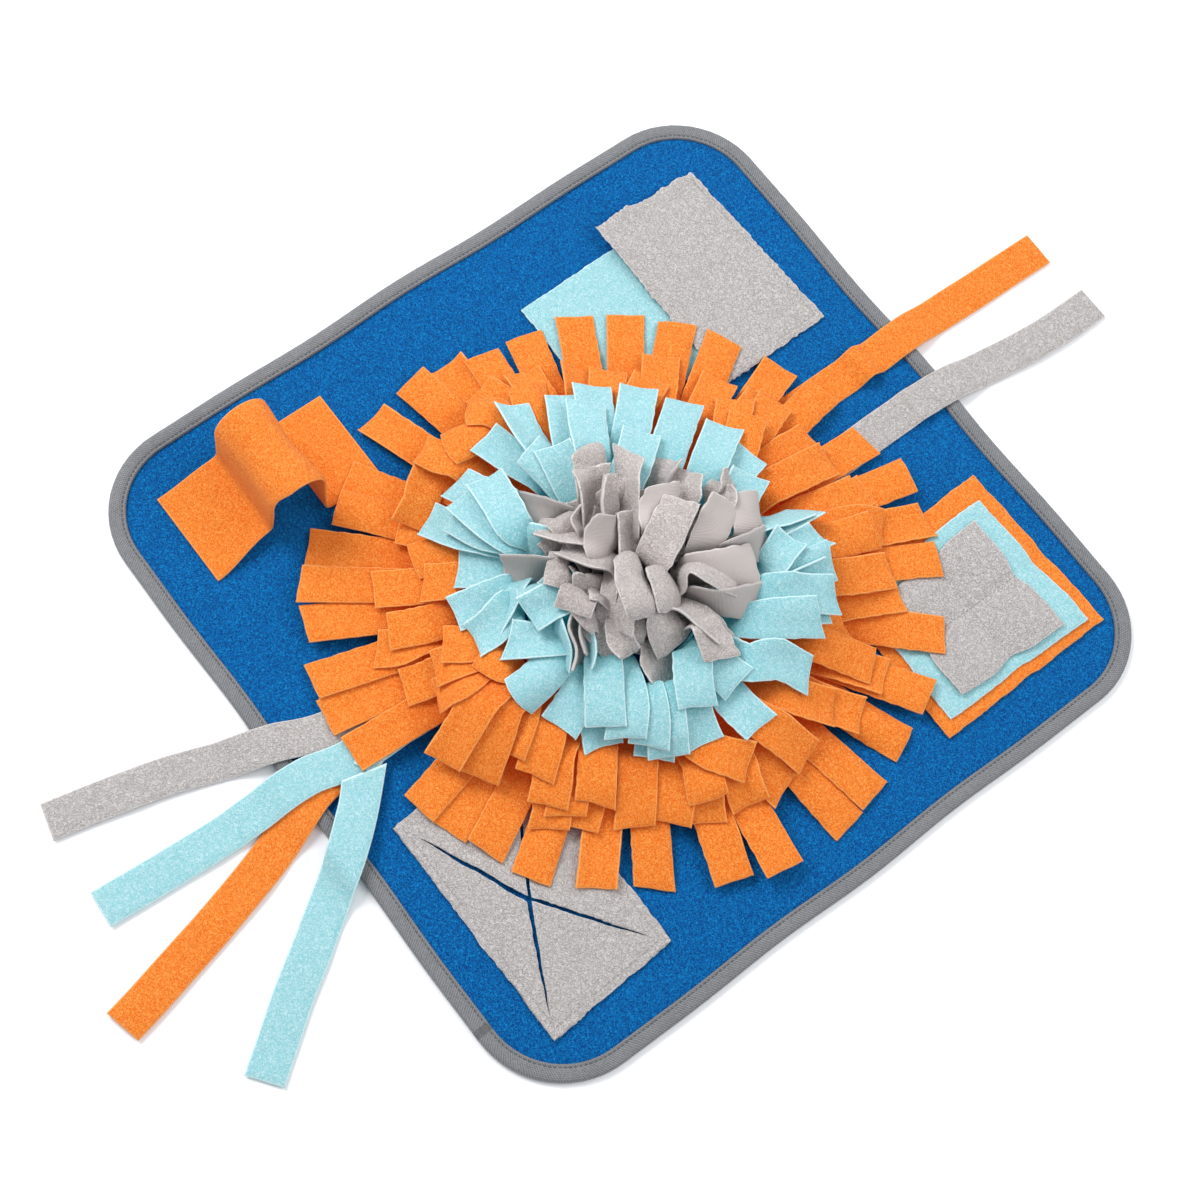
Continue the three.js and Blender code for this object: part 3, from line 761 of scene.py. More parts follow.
for level, (colour, corners, puff) in enumerate(PAGES):
    plan = four_sided(corners, 48, 48)
    x, y = plan[..., 0], plan[..., 1]
    across, down = x - PAGE_CENTRE[0], y - PAGE_CENTRE[1]
    rise = puff * cross_share(across) * cross_share(down)
    rise = rise * (0.75 + 0.25 * smooth(from_sides(x, y, corners) / 12))
    waves = 0.3 * (1 + level) * ripple(x, y, 38, 31 + level) * cross_share(across) * cross_share(down)
    height = LYING + level * (FLEECE + 0.15) + rise + waves
    height = np.maximum(height, ground_under(x, y) + FLEECE / 2 + 0.05)
    drawn_x = (1 - smooth(np.abs(down) / PINCH_REACH)) * smooth((np.abs(across) - 15) / 25) * np.sign(across)
    drawn_y = (1 - smooth(np.abs(across) / PINCH_REACH)) * smooth((np.abs(down) - 15) / 25) * np.sign(down)
    plan = plan - EDGE_PINCH[level] * np.stack([drawn_x, drawn_y], -1)
    plan = plan + 0.7 * np.stack([ripple(y, x, 31, 41 + level), ripple(x, y, 27, 51 + level)], -1)
    page_middle = plan_and_height(plan, height)
    page_sheet = cloth(page_middle, fray=0.25)
    material, slot = DYED_FLEECE[colour], colour + "_fleece"
    page = cloth_piece(colour + "_page", "page_" + colour, material, slot, page_sheet)
    lay(page_middle)
    width, length = abs(corners[1][0] - corners[0][0]), abs(corners[3][1] - corners[0][1])
    sewn = []
    if colour == "grey":
        lines = [line_between(start, end, page_middle) for start, end in PAGE_CROSS]
        sewn = [stitches("page_seam", lines, grey_thread)]
    width * MM
    length * MM

# ---------------------------------------------------------------------------------------------
# The tunnel loop: one strip of orange fleece. It rises gently to a crease, stands up as a
# round-topped arch over the mat, and runs flat again under the fringe, where it is sewn down.

LOOP_LEFT, LOOP_RIGHT = -209, -141
LOOP_NEAR_END, LOOP_NEAR_FOOT = -213, -166
LOOP_FAR_FOOT, LOOP_FAR_END = -131, -88
LOOP_HEIGHT = 64
FOOT_RADIUS = 5
LOOP_RISE = 8
LOOP_STEP = 2.2
LOOP_WIDTH = 68


def loop_route():
    """Side view of the loop's underside as (y, height), at an even step."""
    crown_radius = (LOOP_FAR_FOOT - LOOP_NEAR_FOOT) / 2
    shares = np.linspace(0, 1, 12)[:-1]
    near_flat = LOOP_NEAR_END + (LOOP_NEAR_FOOT - FOOT_RADIUS - LOOP_NEAR_END) * shares
    route = list(zip(near_flat, MAT_TOP + LOOP_RISE * smooth(shares)))
    arcs = [
        (LOOP_NEAR_FOOT - FOOT_RADIUS, MAT_TOP + LOOP_RISE + FOOT_RADIUS, FOOT_RADIUS, -90, 0),
        ((LOOP_NEAR_FOOT + LOOP_FAR_FOOT) / 2, LOOP_HEIGHT - crown_radius, crown_radius, 180, 0),
        (LOOP_FAR_FOOT + FOOT_RADIUS, MAT_TOP + FOOT_RADIUS, FOOT_RADIUS, 180, 270),
    ]
    for y, z, radius, start, end in arcs:
        for angle in np.radians(np.linspace(start, end, 13)):
            route.append((y + radius * math.cos(angle), z + radius * math.sin(angle)))
    route.append((LOOP_FAR_END, MAT_TOP))
    route = np.array(route)
    lengths = lengths_along(route)
    stations = cut_positions(0, lengths[-1], int(lengths[-1] / LOOP_STEP))
    places = places_at(stations, lengths, route)
    for _ in range(3):
        places[1:-1] = 0.25 * places[:-2] + 0.5 * places[1:-1] + 0.25 * places[2:]
    return places


def tunnel_loop():
    """Middle grid of the loop's cloth, with its drawn-in near mouth and slight sag."""
    route = loop_route()
    slopes = unit(np.gradient(route, axis=0))
    outward = np.column_stack([-slopes[:, 1], slopes[:, 0]])
    shares = cut_positions(0, LOOP_WIDTH, 30) / LOOP_WIDTH
    heights = smooth((route[:, 1] - 8) / 40)[:, None]
    near_wall = smooth((LOOP_NEAR_FOOT + 12 - route[:, 0]) / 10)[:, None]
    left = LOOP_LEFT + 1.0 * heights
    right = LOOP_RIGHT - 6 * near_wall * smooth((route[:, :1] - LOOP_NEAR_END) / 45) * (1 - 0.5 * heights)
    x = left + (right - left) * shares
    dip = 1.6 * heights * np.sin(math.pi * shares) ** 2
    waves = 0.5 * ripple(route[:, :1] + 0 * x, x + route[:, 1:], 45, 61)
    offset = FLEECE / 2 + waves * (0.3 + 0.7 * heights) - dip
    y = route[:, :1] + outward[:, :1] * offset
    z = route[:, 1:] + outward[:, 1:] * offset
    return np.stack([x, y, np.maximum(z, LYING)], -1)


loop_middle = tunnel_loop()
loop = cloth_piece("orange_loop", "tunnel_loop", orange_fleece, "orange_fleece", cloth(loop_middle))
lay(loop_middle[loop_middle[:, 0, 1] > LOOP_FAR_FOOT + 3])

# ---------------------------------------------------------------------------------------------
# The ties: six long strips of fleece in two bunches, sewn in under the fringe. They lie over
# the mat and its binding, cross each other, and rest on the floor with their cut ends.

STRIP_WIDTH = 25
TAPE_TOP = 4.9
TIE_LAYER = FLEECE + GAP + 0.6
TIE_ROWS, HIDDEN_ROWS, TIE_COLUMNS = 60, 24, 6
RAMP = 9
HUMP_HALF_LENGTH = 12
DROP_TO_FLOOR = 26
FOLDED_TIE = "aqua_side"  # it is folded to change direction, and its run to the fringe is hidden
FOLD_SLANT = 0.62
HIDDEN_RUN = [(6, -134), (7, -165), (6, -195), (13, -211)]
HIDDEN_HALF = 8
LAID_HALF = 240  # only what lies nearer than this to the mat's middle carries the fringe
TIES = [  # name, its place in the stack, end of the stack, hump's place and height, route
    ("grey_near", 0, -250, None, 0, [(-24, -132), (-20, -203), (-35, -251), (-57, -315), (-74, -382)]),
    ("orange_near", 0, -250, None, 0, [(-2, -136), (2, -226), (17, -271), (37, -335), (56, -414)]),
    ("aqua_near", 1, -296, None, 0, [(1, -132), (2, -207), (-4, -246), (-5, -312), (-10, -386)]),
    ("aqua_side", 2, -266, None, 0, [(14, -212), (49, -249), (91, -312), (131, -366)]),
    ("orange_far", 0, 250, 214, 8, [(-22, 108), (-22, 205), (-22, 255), (-21, 315), (-20, 372)]),
    ("grey_far", 0, 250, 224, 3, [(22, 108), (21, 205), (23, 255), (32, 318), (33, 376)]),
]


def smooth_line(route):
    """Many points on a smooth line through a few."""
    route = np.array(route, float)
    ends = np.vstack([2 * route[0] - route[1], route, 2 * route[-1] - route[-2]])
    line = []
    for before, start, end, after in zip(ends, ends[1:], ends[2:], ends[3:]):
        for t in np.arange(0, 1, 0.05):
            bend = (2 * before - 5 * start + 4 * end - after) * t
            bend = bend + (3 * start - before - 3 * end + after) * t * t
            line.append(start + 0.5 * t * (end - before + bend))
    return np.array(line + [route[-1]])


def even_line(curve, rows):
    """Points along a line of points, even but for one close to its cut end, shares and length."""
    lengths = lengths_along(curve[:, :3])
    stations = np.append(np.linspace(0, lengths[-1] - CUT_EDGE, rows), lengths[-1])
    return places_at(stations, lengths, curve), stations / lengths[-1], lengths[-1]


def tie_underside(level, stack_end, hump_at, hump_height, y):
    """Height of a tie's underside: on the mat in its stack, over the tape, then on the floor."""
    outwards = math.copysign(1, stack_end)
    past = outwards * y - MAT_LENGTH / 2
    stacked = TIE_LAYER * level * (1 - smooth((outwards * (y - stack_end) + RAMP) / RAMP))
    over_tape = TAPE_TOP + 2 * GAP - MAT_TOP
    on_mat = MAT_TOP + over_tape * smooth((past + TAPE_WIDTH + 2 * RAMP) / (2 * RAMP))
    hump = hump_height * smooth(1 - np.abs(y - hump_at) / HUMP_HALF_LENGTH) if hump_at else 0
    return on_mat * (1 - smooth((past - 2) / DROP_TO_FLOOR)) + stacked + hump


for number, (name, level, stack_end, hump_at, hump_height, route) in enumerate(TIES):
    centres, shares, length = even_line(smooth_line(route), TIE_ROWS)
    directions = unit(np.gradient(centres, axis=0))
    across = np.column_stack([-directions[:, 1], directions[:, 0]])
    widths = cut_positions(-STRIP_WIDTH / 2, STRIP_WIDTH / 2, TIE_COLUMNS)
    plan = centres[:, None] + across[:, None] * widths[None, :, None]
    x, y = plan[..., 0], plan[..., 1]
    outside = smooth((np.abs(y) - MAT_LENGTH / 2 - 12) / 40)
    height = tie_underside(level, stack_end, hump_at, hump_height, y) + FLEECE / 2
    sway = ripple(x, y, 90, 70 + number)
    height = height + outside * (1.1 + 1.1 * sway) + 0.25 * (1 + ripple(x, y, 30, 80 + number))
    drift = 0.8 * ripple(centres[:, 0], centres[:, 1], 60, 90 + number)
    plan = plan + across[:, None] * drift[:, None, None]
    sheets = []
    if name == FOLDED_TIE:
        slanted = -FOLD_SLANT * widths[None, :] * (1 - smooth(shares / 0.2))[:, None]
        plan = plan + directions[:, None] * slanted[..., None]
        run, run_shares, run_length = even_line(smooth_line(HIDDEN_RUN), HIDDEN_ROWS)
        run_across = np.column_stack([-np.gradient(run[:, 1]), np.gradient(run[:, 0])])
        run_across *= HIDDEN_HALF / np.linalg.norm(run_across, axis=1)[:, None]
        run_plan = run[:, None] + run_across[:, None] * np.linspace(-1, 1, TIE_COLUMNS)[None, :, None]
        run_rise = TIE_LAYER * (2 * run_shares ** 2)[:, None] + 0 * run_plan[..., 0]
        run_height = MAT_TOP + FLEECE / 2 + run_rise - 0.3
        sheets.append(cloth(plan_and_height(run_plan, run_height)))
        length += run_length * 2 * HIDDEN_HALF / STRIP_WIDTH
    tie_middle = plan_and_height(plan, height)
    colour = name.split("_")[0]
    material, slot = DYED_FLEECE[colour], colour + "_fleece"
    tie = cloth_piece(name + "_tie", "tie_" + name, material, slot, cloth(tie_middle), *sheets)
    lay(tie_middle[np.abs(tie_middle[:, 0, 1]) < LAID_HALF])
    length * MM

# ---------------------------------------------------------------------------------------------
# The fringed bands: bands of fleece cut into strips, three orange and two aqua, each sewn to the
# mat in a ring inside the last. Strips stand up, bend over and hang outwards on those before.
# They were placed in the camera's frame: each place is pixels across, pixels down, height.

FLOWER_CENTRE = (15, -12)
DOME_STEPS = 60
RING_STEPS = 72
STRIP_ROWS = 20
STRIP_COLUMNS = 6
FREE_ROW = 5  # rows nearer the root are held by the sewing
ROOT_FILL = 1.2
RING_IN = 2.4  # how far inside the strips' roots the sewn ring stands
BAND_HEIGHT = 8
STEEP = 40  # strips rolled by more degrees than this aren't let down on what lies below them
STRIP_FRAY = 0.35
TIP_CURL = 9
OUTER_RING = (106, 140, 13, 4.2)  # root, crown, its height, height of the tips
LONGEST_REACH = 204
TIPS_SEEN_AT = 8  # height at which the tips of the outermost ring are seen
OUTER_TIPS = [  # pixels across and down
    (370, 417), (410, 379), (444, 363), (483, 354), (523, 334), (572, 316), (625, 314), (676, 323),
    (724, 338), (781, 364), (823, 391), (868, 440), (910, 476), (933, 516), (946, 562), (944, 640),
    (928, 701), (908, 741), (878, 793), (852, 825), (786, 871), (737, 881), (658, 888), (596, 889),
    (531, 880), (482, 851), (447, 831), (416, 807), (353, 758), (320, 721), (297, 683), (304, 627),
    (299, 588), (307, 547), (337, 506), (347, 476),
]
# The strips of each inner band: places seen, from where a strip shows to its tip; roll; cup.
MIDDLE_ORANGE = [
    ([(450, 530, 20), (425, 532, 17), (398, 528, 11)], 0, 1),
    ([(510, 410, 22), (495, 399, 19), (478, 391, 11)], 0, 1),
    ([(545, 410, 20), (533, 392, 19), (521, 374, 12)], 0, 1),
    ([(582, 405, 22), (580, 388, 22), (577, 368, 16)], 25, 1),
    ([(655, 410, 22), (659, 385, 20), (661, 356, 13)], 0, 1),
    ([(700, 420, 22), (710, 400, 20), (720, 379, 13)], 0, 1),
    ([(740, 430, 18), (752, 412, 18), (764, 397, 11)], 0, 1),
    ([(750, 440, 22), (762, 422, 21), (776, 401, 14)], 0, 1),
    ([(765, 470, 24), (785, 455, 22), (812, 438, 14)], 0, 1),
    ([(812, 520, 18), (840, 508, 16), (866, 494, 9)], 0, 1),
    ([(800, 516, 22), (830, 505, 20), (860, 494, 11)], 0, 1),
    ([(845, 530, 14), (865, 528, 13), (881, 531, 9)], 0, 1),
    ([(830, 605, 16), (865, 600, 14), (899, 597, 9)], 0, 1),
    ([(830, 660, 18), (858, 670, 14), (884, 680, 9)], 0, 2),
    ([(815, 700, 18), (840, 710, 14), (861, 718, 9)], 0, 2),
    ([(755, 755, 20), (768, 775, 17), (784, 793, 10)], 0, 1),
    ([(735, 760, 22), (742, 785, 19), (750, 808, 12)], 0, 2),
    ([(700, 785, 14), (703, 810, 12), (705, 827, 7)], 0, 1),
    ([(672, 765, 18), (674, 800, 15), (670, 826, 9)], 0, 1),
    ([(700, 765, 20), (704, 790, 18), (707, 807, 12)], 0, -2),
    ([(638, 760, 24), (637, 795, 20), (634, 829, 11)], 0, 1),
    ([(590, 780, 16), (585, 805, 13), (577, 831, 8)], 0, 1),
    ([(555, 790, 14), (552, 812, 12), (548, 832, 7)], 0, 1),
    ([(572, 750, 20), (570, 790, 16), (564, 820, 10)], 0, 1),
    ([(450, 670, 18), (425, 682, 15), (403, 691, 9)], 0, 1),
    ([(420, 640, 14), (398, 650, 12), (376, 653, 7)], 0, 1),
    ([(440, 585, 22), (410, 588, 18), (373, 592, 12)], 0, 1),
    ([(450, 620, 22), (420, 628, 18), (388, 635, 12)], 0, 1),
]
INNER_ORANGE = [
    ([(465, 552, 28), (440, 556, 24), (412, 566, 14)], 0, -2),
    ([(432, 476, 26), (421, 502, 24), (408, 528, 17)], -25, 1),
    ([(462, 466, 28), (441, 462, 25), (421, 456, 18)], 0, 1),
    ([(490, 437, 30), (468, 443, 29), (446, 458, 20)], 0, -3),
    ([(510, 426, 28), (490, 414, 28), (466, 418, 18)], 0, -3),
    ([(540, 440, 30), (532, 410, 30), (526, 386, 22)], 0, -3),
    ([(606, 412, 26), (607, 392, 26), (608, 371, 17)], 0, 1),
    ([(632, 412, 26), (642, 397, 26), (651, 381, 18)], 0, 1),
    ([(728, 440, 28), (732, 420, 28), (735, 401, 20)], 0, 1),
    ([(735, 462, 32), (742, 439, 32), (747, 419, 24)], 0, 1),
    ([(765, 490, 30), (795, 475, 28), (829, 459, 18)], 0, 1),
    ([(810, 545, 26), (840, 540, 24), (874, 533, 14)], 0, -2),
    ([(820, 580, 26), (855, 577, 22), (889, 573, 12)], 0, 1),
    ([(800, 622, 28), (820, 624, 26), (843, 622, 18)], 0, 1),
    ([(815, 645, 28), (842, 655, 22), (872, 669, 13)], 0, -1),
    ([(780, 690, 32), (805, 700, 28), (834, 709, 18)], 0, 2),
    ([(750, 715, 32), (780, 735, 28), (809, 758, 18)], 0, 1),
    ([(700, 745, 30), (722, 757, 28), (748, 767, 20)], 0, 1),
    ([(598, 752, 26), (596, 785, 22), (594, 809, 13)], 0, 1),
    ([(555, 755, 28), (552, 782, 22), (547, 809, 14)], 0, 1),
    ([(550, 720, 34), (543, 748, 32), (534, 779, 22)], 0, 1),
    ([(525, 692, 30), (518, 722, 28), (505, 758, 20)], 0, 1),
    ([(498, 690, 34), (490, 712, 32), (482, 740, 24)], 40, 1),
    ([(505, 710, 32), (492, 745, 30), (479, 779, 20)], 0, 1),
    ([(482, 705, 32), (463, 732, 28), (442, 764, 20)], 0, 2),
    ([(480, 672, 24), (460, 690, 22), (436, 702, 13)], 0, 1),
    ([(485, 656, 28), (460, 664, 26), (434, 674, 17)], 0, 2),
    ([(490, 640, 32), (470, 648, 30), (442, 650, 21)], 0, 1),
    ([(470, 580, 30), (445, 583, 27), (422, 587, 19)], 0, 1),
    ([(516, 660, 32), (499, 664, 37), (487, 684, 31)], 0, -4),
]
OUTER_AQUA = [
    ([(510, 573, 40), (485, 571, 40), (457, 571, 30)], 0, 1),
    ([(490, 543, 38), (457, 532, 35), (427, 520, 24)], 0, 1),
    ([(508, 505, 44), (480, 495, 44), (455, 483, 34)], 0, 1),
    ([(548, 480, 42), (518, 462, 40), (483, 442, 30)], 0, 1),
    ([(545, 462, 42), (527, 436, 40), (510, 409, 30)], 35, 1),
    ([(572, 455, 42), (568, 425, 42), (564, 395, 32)], 0, 1),
    ([(600, 450, 38), (596, 420, 38), (591, 387, 28)], 0, 1),
    ([(622, 470, 42), (632, 427, 43), (639, 387, 32)], 0, 1),
    ([(660, 478, 42), (672, 440, 43), (685, 402, 32)], 0, 0),
    ([(722, 488, 38), (738, 470, 38), (750, 456, 31)], 0, 1),
    ([(770, 530, 38), (792, 522, 37), (811, 512, 32)], -50, 0),
    ([(778, 560, 38), (798, 550, 40), (819, 541, 33)], -35, 1),
    ([(775, 590, 32), (802, 580, 32), (827, 571, 24)], -10, 1),
    ([(760, 607, 36), (795, 610, 33), (824, 610, 25)], 0, 1),
    ([(712, 675, 34), (735, 706, 33), (758, 735, 21)], 0, 1),
    ([(685, 680, 38), (690, 706, 38), (692, 733, 30)], 0, 1),
    ([(685, 700, 30), (694, 726, 30), (703, 750, 23)], 0, 1),
    ([(655, 700, 24), (655, 735, 22), (652, 764, 14)], 0, 1),
    ([(660, 705, 26), (664, 738, 24), (666, 765, 16)], 0, 1),
    ([(642, 690, 36), (648, 725, 34), (647, 752, 26)], 0, 1),
    ([(598, 695, 34), (600, 728, 32), (603, 751, 23)], 0, 2),
    ([(592, 672, 42), (576, 702, 40), (558, 732, 28)], 0, 1),
    ([(512, 595, 40), (485, 604, 38), (454, 618, 28)], 0, 2),
    ([(510, 612, 42), (493, 630, 40), (472, 648, 28)], 0, 2),
    ([(515, 583, 46), (506, 603, 46), (492, 629, 38)], 45, 1),
]
INNER_AQUA = [
    ([(530, 545, 38), (515, 537, 42), (503, 527, 40)], 0, 1),
    ([(508, 545, 40), (482, 537, 38), (453, 520, 30)], 0, 1),
    ([(515, 546, 46), (490, 527, 48), (460, 501, 38)], 0, 2),
    ([(514, 535, 48), (502, 510, 52), (484, 481, 45)], -10, 2),
    ([(562, 552, 46), (543, 545, 52), (524, 541, 52)], -40, 1),
    ([(577, 507, 40), (557, 478, 50), (529, 448, 52)], 15, -3),
    ([(580, 507, 46), (568, 478, 55), (552, 447, 56)], -20, 2),
    ([(592, 462, 50), (588, 432, 50), (585, 403, 41)], 0, 0),
    ([(622, 490, 52), (634, 460, 55), (642, 431, 49)], 0, 1),
    ([(698, 492, 44), (712, 456, 47), (725, 425, 36)], 0, 1),
    ([(728, 522, 42), (738, 500, 45), (750, 477, 39)], 0, 1),
    ([(760, 525, 44), (780, 520, 44), (802, 512, 38)], -50, 0),
    ([(763, 578, 44), (775, 560, 50), (790, 541, 46)], -25, 1),
    ([(770, 578, 44), (790, 568, 46), (814, 558, 40)], -60, 1),
    ([(765, 600, 40), (798, 602, 37), (833, 603, 26)], 0, 1),
    ([(745, 622, 44), (780, 624, 40), (816, 626, 28)], 0, 1),
    ([(745, 665, 42), (775, 663, 38), (808, 679, 26)], 0, 1),
    ([(700, 640, 44), (715, 665, 44), (737, 690, 34)], 0, 1),
    ([(690, 655, 44), (692, 685, 44), (696, 713, 36)], 0, 1),
    ([(618, 660, 40), (628, 705, 42), (624, 743, 32)], 0, 1),
    ([(603, 660, 46), (604, 695, 46), (605, 730, 38)], 0, 0),
    ([(565, 650, 46), (540, 680, 48), (514, 706, 34)], -10, -5),
    ([(570, 640, 46), (538, 643, 48), (505, 648, 36)], 10, 1),
    ([(580, 607, 46), (566, 590, 52), (549, 572, 55)], 20, 1),
    ([(578, 596, 48), (548, 588, 53), (516, 592, 50)], 55, -3),
    ([(580, 600, 50), (556, 605, 56), (527, 621, 50)], 10, -3),
    ([(556, 627, 54), (564, 645, 50), (564, 667, 42)], 75, 0),
    ([(582, 628, 50), (590, 645, 50), (588, 662, 44)], 80, 0),
]
BANDS = [  # name, CAD node, root radius and strips
    ("middle_orange_fringe", "fringe_orange_middle", 92, MIDDLE_ORANGE),
    ("inner_orange_fringe", "fringe_orange_inner", 78, INNER_ORANGE),
    ("outer_aqua_fringe", "fringe_aqua_outer", 65, OUTER_AQUA),
    ("inner_aqua_fringe", "fringe_aqua_inner", 52, INNER_AQUA),
]


VIEW_AXES = np.array([right, up, back])
VIEW_EYE = np.array(CAMERA_AIM) + VIEW_AXES[2] * CAMERA_DISTANCE


def seen(across, down, height):
    """The point at a height that the camera sees that far across and down its frame."""
    half = FRAME_SIDE / 2
    ray = np.array([(across - half) / FOCAL_PIXELS, (half - down) / FOCAL_PIXELS, -1]) @ VIEW_AXES
    return VIEW_EYE + ray * (height - VIEW_EYE[2]) / ray[2]


def dome_line(turn, root, crown, height, reach, tip, sway):
    """Centre line of a strip that stands up at its root, bends over and hangs outwards."""
    corners = np.array([(root, MAT_TOP + 1), (root + 3, height), (crown, height), (reach, tip)], float)
    t = np.linspace(0, 1, DOME_STEPS)[:, None]
    weights = [(1 - t) ** 3, 3 * t * (1 - t) ** 2, 3 * t * t * (1 - t), t ** 3]
    side_view = sum(weight * corner for weight, corner in zip(weights, corners))
    radial = np.array([math.cos(turn), math.sin(turn), 0])
    sideways = np.array([-math.sin(turn), math.cos(turn), 0])
    drift = sway * t ** 2
    upwards = side_view[:, 1:] * [0, 0, 1]
    return np.array([*FLOWER_CENTRE, 0]) + side_view[:, :1] * radial + upwards + drift * sideways


def placed_line(points, root):
    """Centre line of a strip from its foot on the sewn ring up to its points, and through them."""
    start = np.array(points[0][:2], float) - FLOWER_CENTRE
    outwards = start / np.linalg.norm(start)
    foot = FLOWER_CENTRE + outwards * root
    below = FLOWER_CENTRE + outwards * (root + np.linalg.norm(start)) / 2
    return smooth_line([(*foot, MAT_TOP + 1), (*below, 0.6 * points[0][2]), *points])


def across_line(tangent):
    """The level direction across a strip at each place on it, kept steady round a curl."""
    across = np.cross((0, 0, 1), tangent)
    for before, here in zip(across, across[1:]):
        if before @ here < 0:
            here *= -1
    padded = np.pad(across, ((3, 3), (0, 0)), mode="edge")
    across = sum(padded[shift:shift + len(across)] for shift in range(7))
    across -= np.sum(across * tangent, axis=1)[:, None] * tangent
    return unit(across)


def strip_middle(centre, shares, half, rolls, cup, slant, seed):
    """Middle grid of a strip along its centre line. At a roll of 0 it lies level across."""
    tangent = unit(np.gradient(centre, axis=0))
    across = across_line(tangent)
    normal = np.cross(tangent, across)
    angles = (rolls[0] + (rolls[1] - rolls[0]) * smooth(shares))[:, None]
    rolled = across * np.cos(angles) + normal * np.sin(angles)
    normal = normal * np.cos(angles) - across * np.sin(angles)
    widths = cut_positions(-1, 1, STRIP_COLUMNS, CUT_EDGE / STRIP_WIDTH * 2)
    loose = smooth((shares - 0.3) / 0.5)[:, None]
    unevenness = ripple(shares[:, None] * 50 + 0 * widths, widths * 12 + 0 * shares[:, None], 42, seed)
    offset = loose * (cup * (widths ** 2 - 0.4)[None, :] + 1.4 * unevenness)
    forward = slant * widths[None, :] * smooth((shares - 0.6) / 0.4)[:, None]
    middle = (
        centre[:, None] + rolled[:, None] * (half[:, None] * widths)[..., None]
        + normal[:, None] * offset[..., None] + tangent[:, None] * forward[..., None]
    )
    return plan_and_height(middle[..., :2], np.maximum(middle[..., 2], MAT_TOP + FLEECE / 2 + GAP))


def let_down(middle, first, passes=36):
    """Rests a strip on the ground under it, from its row first outwards, keeping its own bend."""
    x, y, z = middle[..., 0], middle[..., 1], middle[..., 2]
    lowest = ground_under(x, y) + FLEECE / 2 + GAP - z
    lowest[:first] = 0
    raised = np.maximum(lowest, 0)
    for _ in range(passes):
        padded = np.pad(raised, 1, mode="edge")
        rows = (padded[:-2, 1:-1] + padded[2:, 1:-1]) / 2
        columns = (padded[1:-1, :-2] + padded[1:-1, 2:]) / 2
        raised = np.maximum(lowest, 0.1 * raised + 0.45 * rows + 0.45 * columns)
        raised[:first] = 0
    return plan_and_height(middle[..., :2], z + raised)


def hung_strip(curve, root_half, over, rolls, cup, slant, seed, resting=True):
    """A strip that widens from its crowded root along its curve: middle grid, shares and length."""
    centre, shares, length = even_line(curve, STRIP_ROWS)
    half = root_half + (STRIP_WIDTH / 2 - root_half) * smooth((shares - 0.05) / over)
    middle = strip_middle(centre, shares, half, rolls, cup, slant, seed)
    if resting:
        middle = let_down(middle, FREE_ROW)
    lay(middle[FREE_ROW - 1:])
    return middle, shares, length


def sewn_ring(root):
    """Middle grid of the uncut edge that a band's strips hang from."""
    radius = root - RING_IN
    turns = np.arange(RING_STEPS) * 2 * math.pi / RING_STEPS
    heights = np.linspace(MAT_TOP + 0.3, MAT_TOP + BAND_HEIGHT, 4)
    x = FLOWER_CENTRE[0] + radius * np.cos(turns)[:, None] + 0 * heights
    y = FLOWER_CENTRE[1] + radius * np.sin(turns)[:, None] + 0 * heights
    return np.stack([x, y, 0 * x + heights], -1)


def sewn_band(name, node, material, sheets):
    """One band's strips and sewn edge as a piece."""
    band = cloth_piece(name, node, material, node.split("_")[1] + "_fleece", *sheets)
    return band


root, crown, height, tip = OUTER_RING
draw = np.random.default_rng(200)
root_half = ROOT_FILL * math.pi * root / len(OUTER_TIPS)
sheets, lengths = [cloth(sewn_ring(root), ring=True)], []
for number in draw.permutation(len(OUTER_TIPS)):
    outwards = seen(*OUTER_TIPS[number], TIPS_SEEN_AT)[:2] - FLOWER_CENTRE
    turn, reach = math.atan2(outwards[1], outwards[0]), min(math.hypot(*outwards), LONGEST_REACH)
    scatter = draw.uniform(-1, 1, 4)
    raised = tip + TIP_CURL * max(0, scatter[2]) ** 2
    bend = crown + 3 * scatter[0]
    curve = dome_line(turn, root, bend, height + 1.5 * scatter[1], reach, raised, 2 * scatter[3])
    cup, slant = 1.6 * draw.normal(), 1.2 * draw.normal()
    middle, shares, length = hung_strip(curve, root_half, 0.6, (0, 0), cup, slant, 1000 + number)
    lengths.append(length)
    sheets.append(cloth(middle, shares=shares, fray=STRIP_FRAY))
under_band = sewn_band("outer_orange_fringe", "fringe_orange_outer", orange_fleece, sheets)

for level, (name, node, root, strips) in enumerate(BANDS):
    draw = np.random.default_rng(210 + level)
    root_half = min(ROOT_FILL * math.pi * root / len(strips), STRIP_WIDTH / 2)
    sheets, lengths = [cloth(sewn_ring(root), ring=True)], []
    for number, (places, roll, cup) in enumerate(strips):
        curve = placed_line([seen(*place) for place in places], root)
        rolls, slant = (math.radians(roll), math.radians(roll)), 1.3 * draw.normal()
        seed, resting = 1000 * level + 1100 + number, abs(roll) < STEEP
        middle, shares, length = hung_strip(curve, root_half, 0.6, rolls, 1.5 * cup, slant, seed, resting)
        lengths.append(length)
        sheets.append(cloth(middle, shares=shares, fray=STRIP_FRAY))
    under_band = sewn_band(name, node, DYED_FLEECE[node.split("_")[1]], sheets)

# ---------------------------------------------------------------------------------------------
# The grey tuft: three inner bands of grey fleece, fuzzy on one side and ribbed on the other.
# Their strips crowd together, so they stand up, twist and curl in every direction.

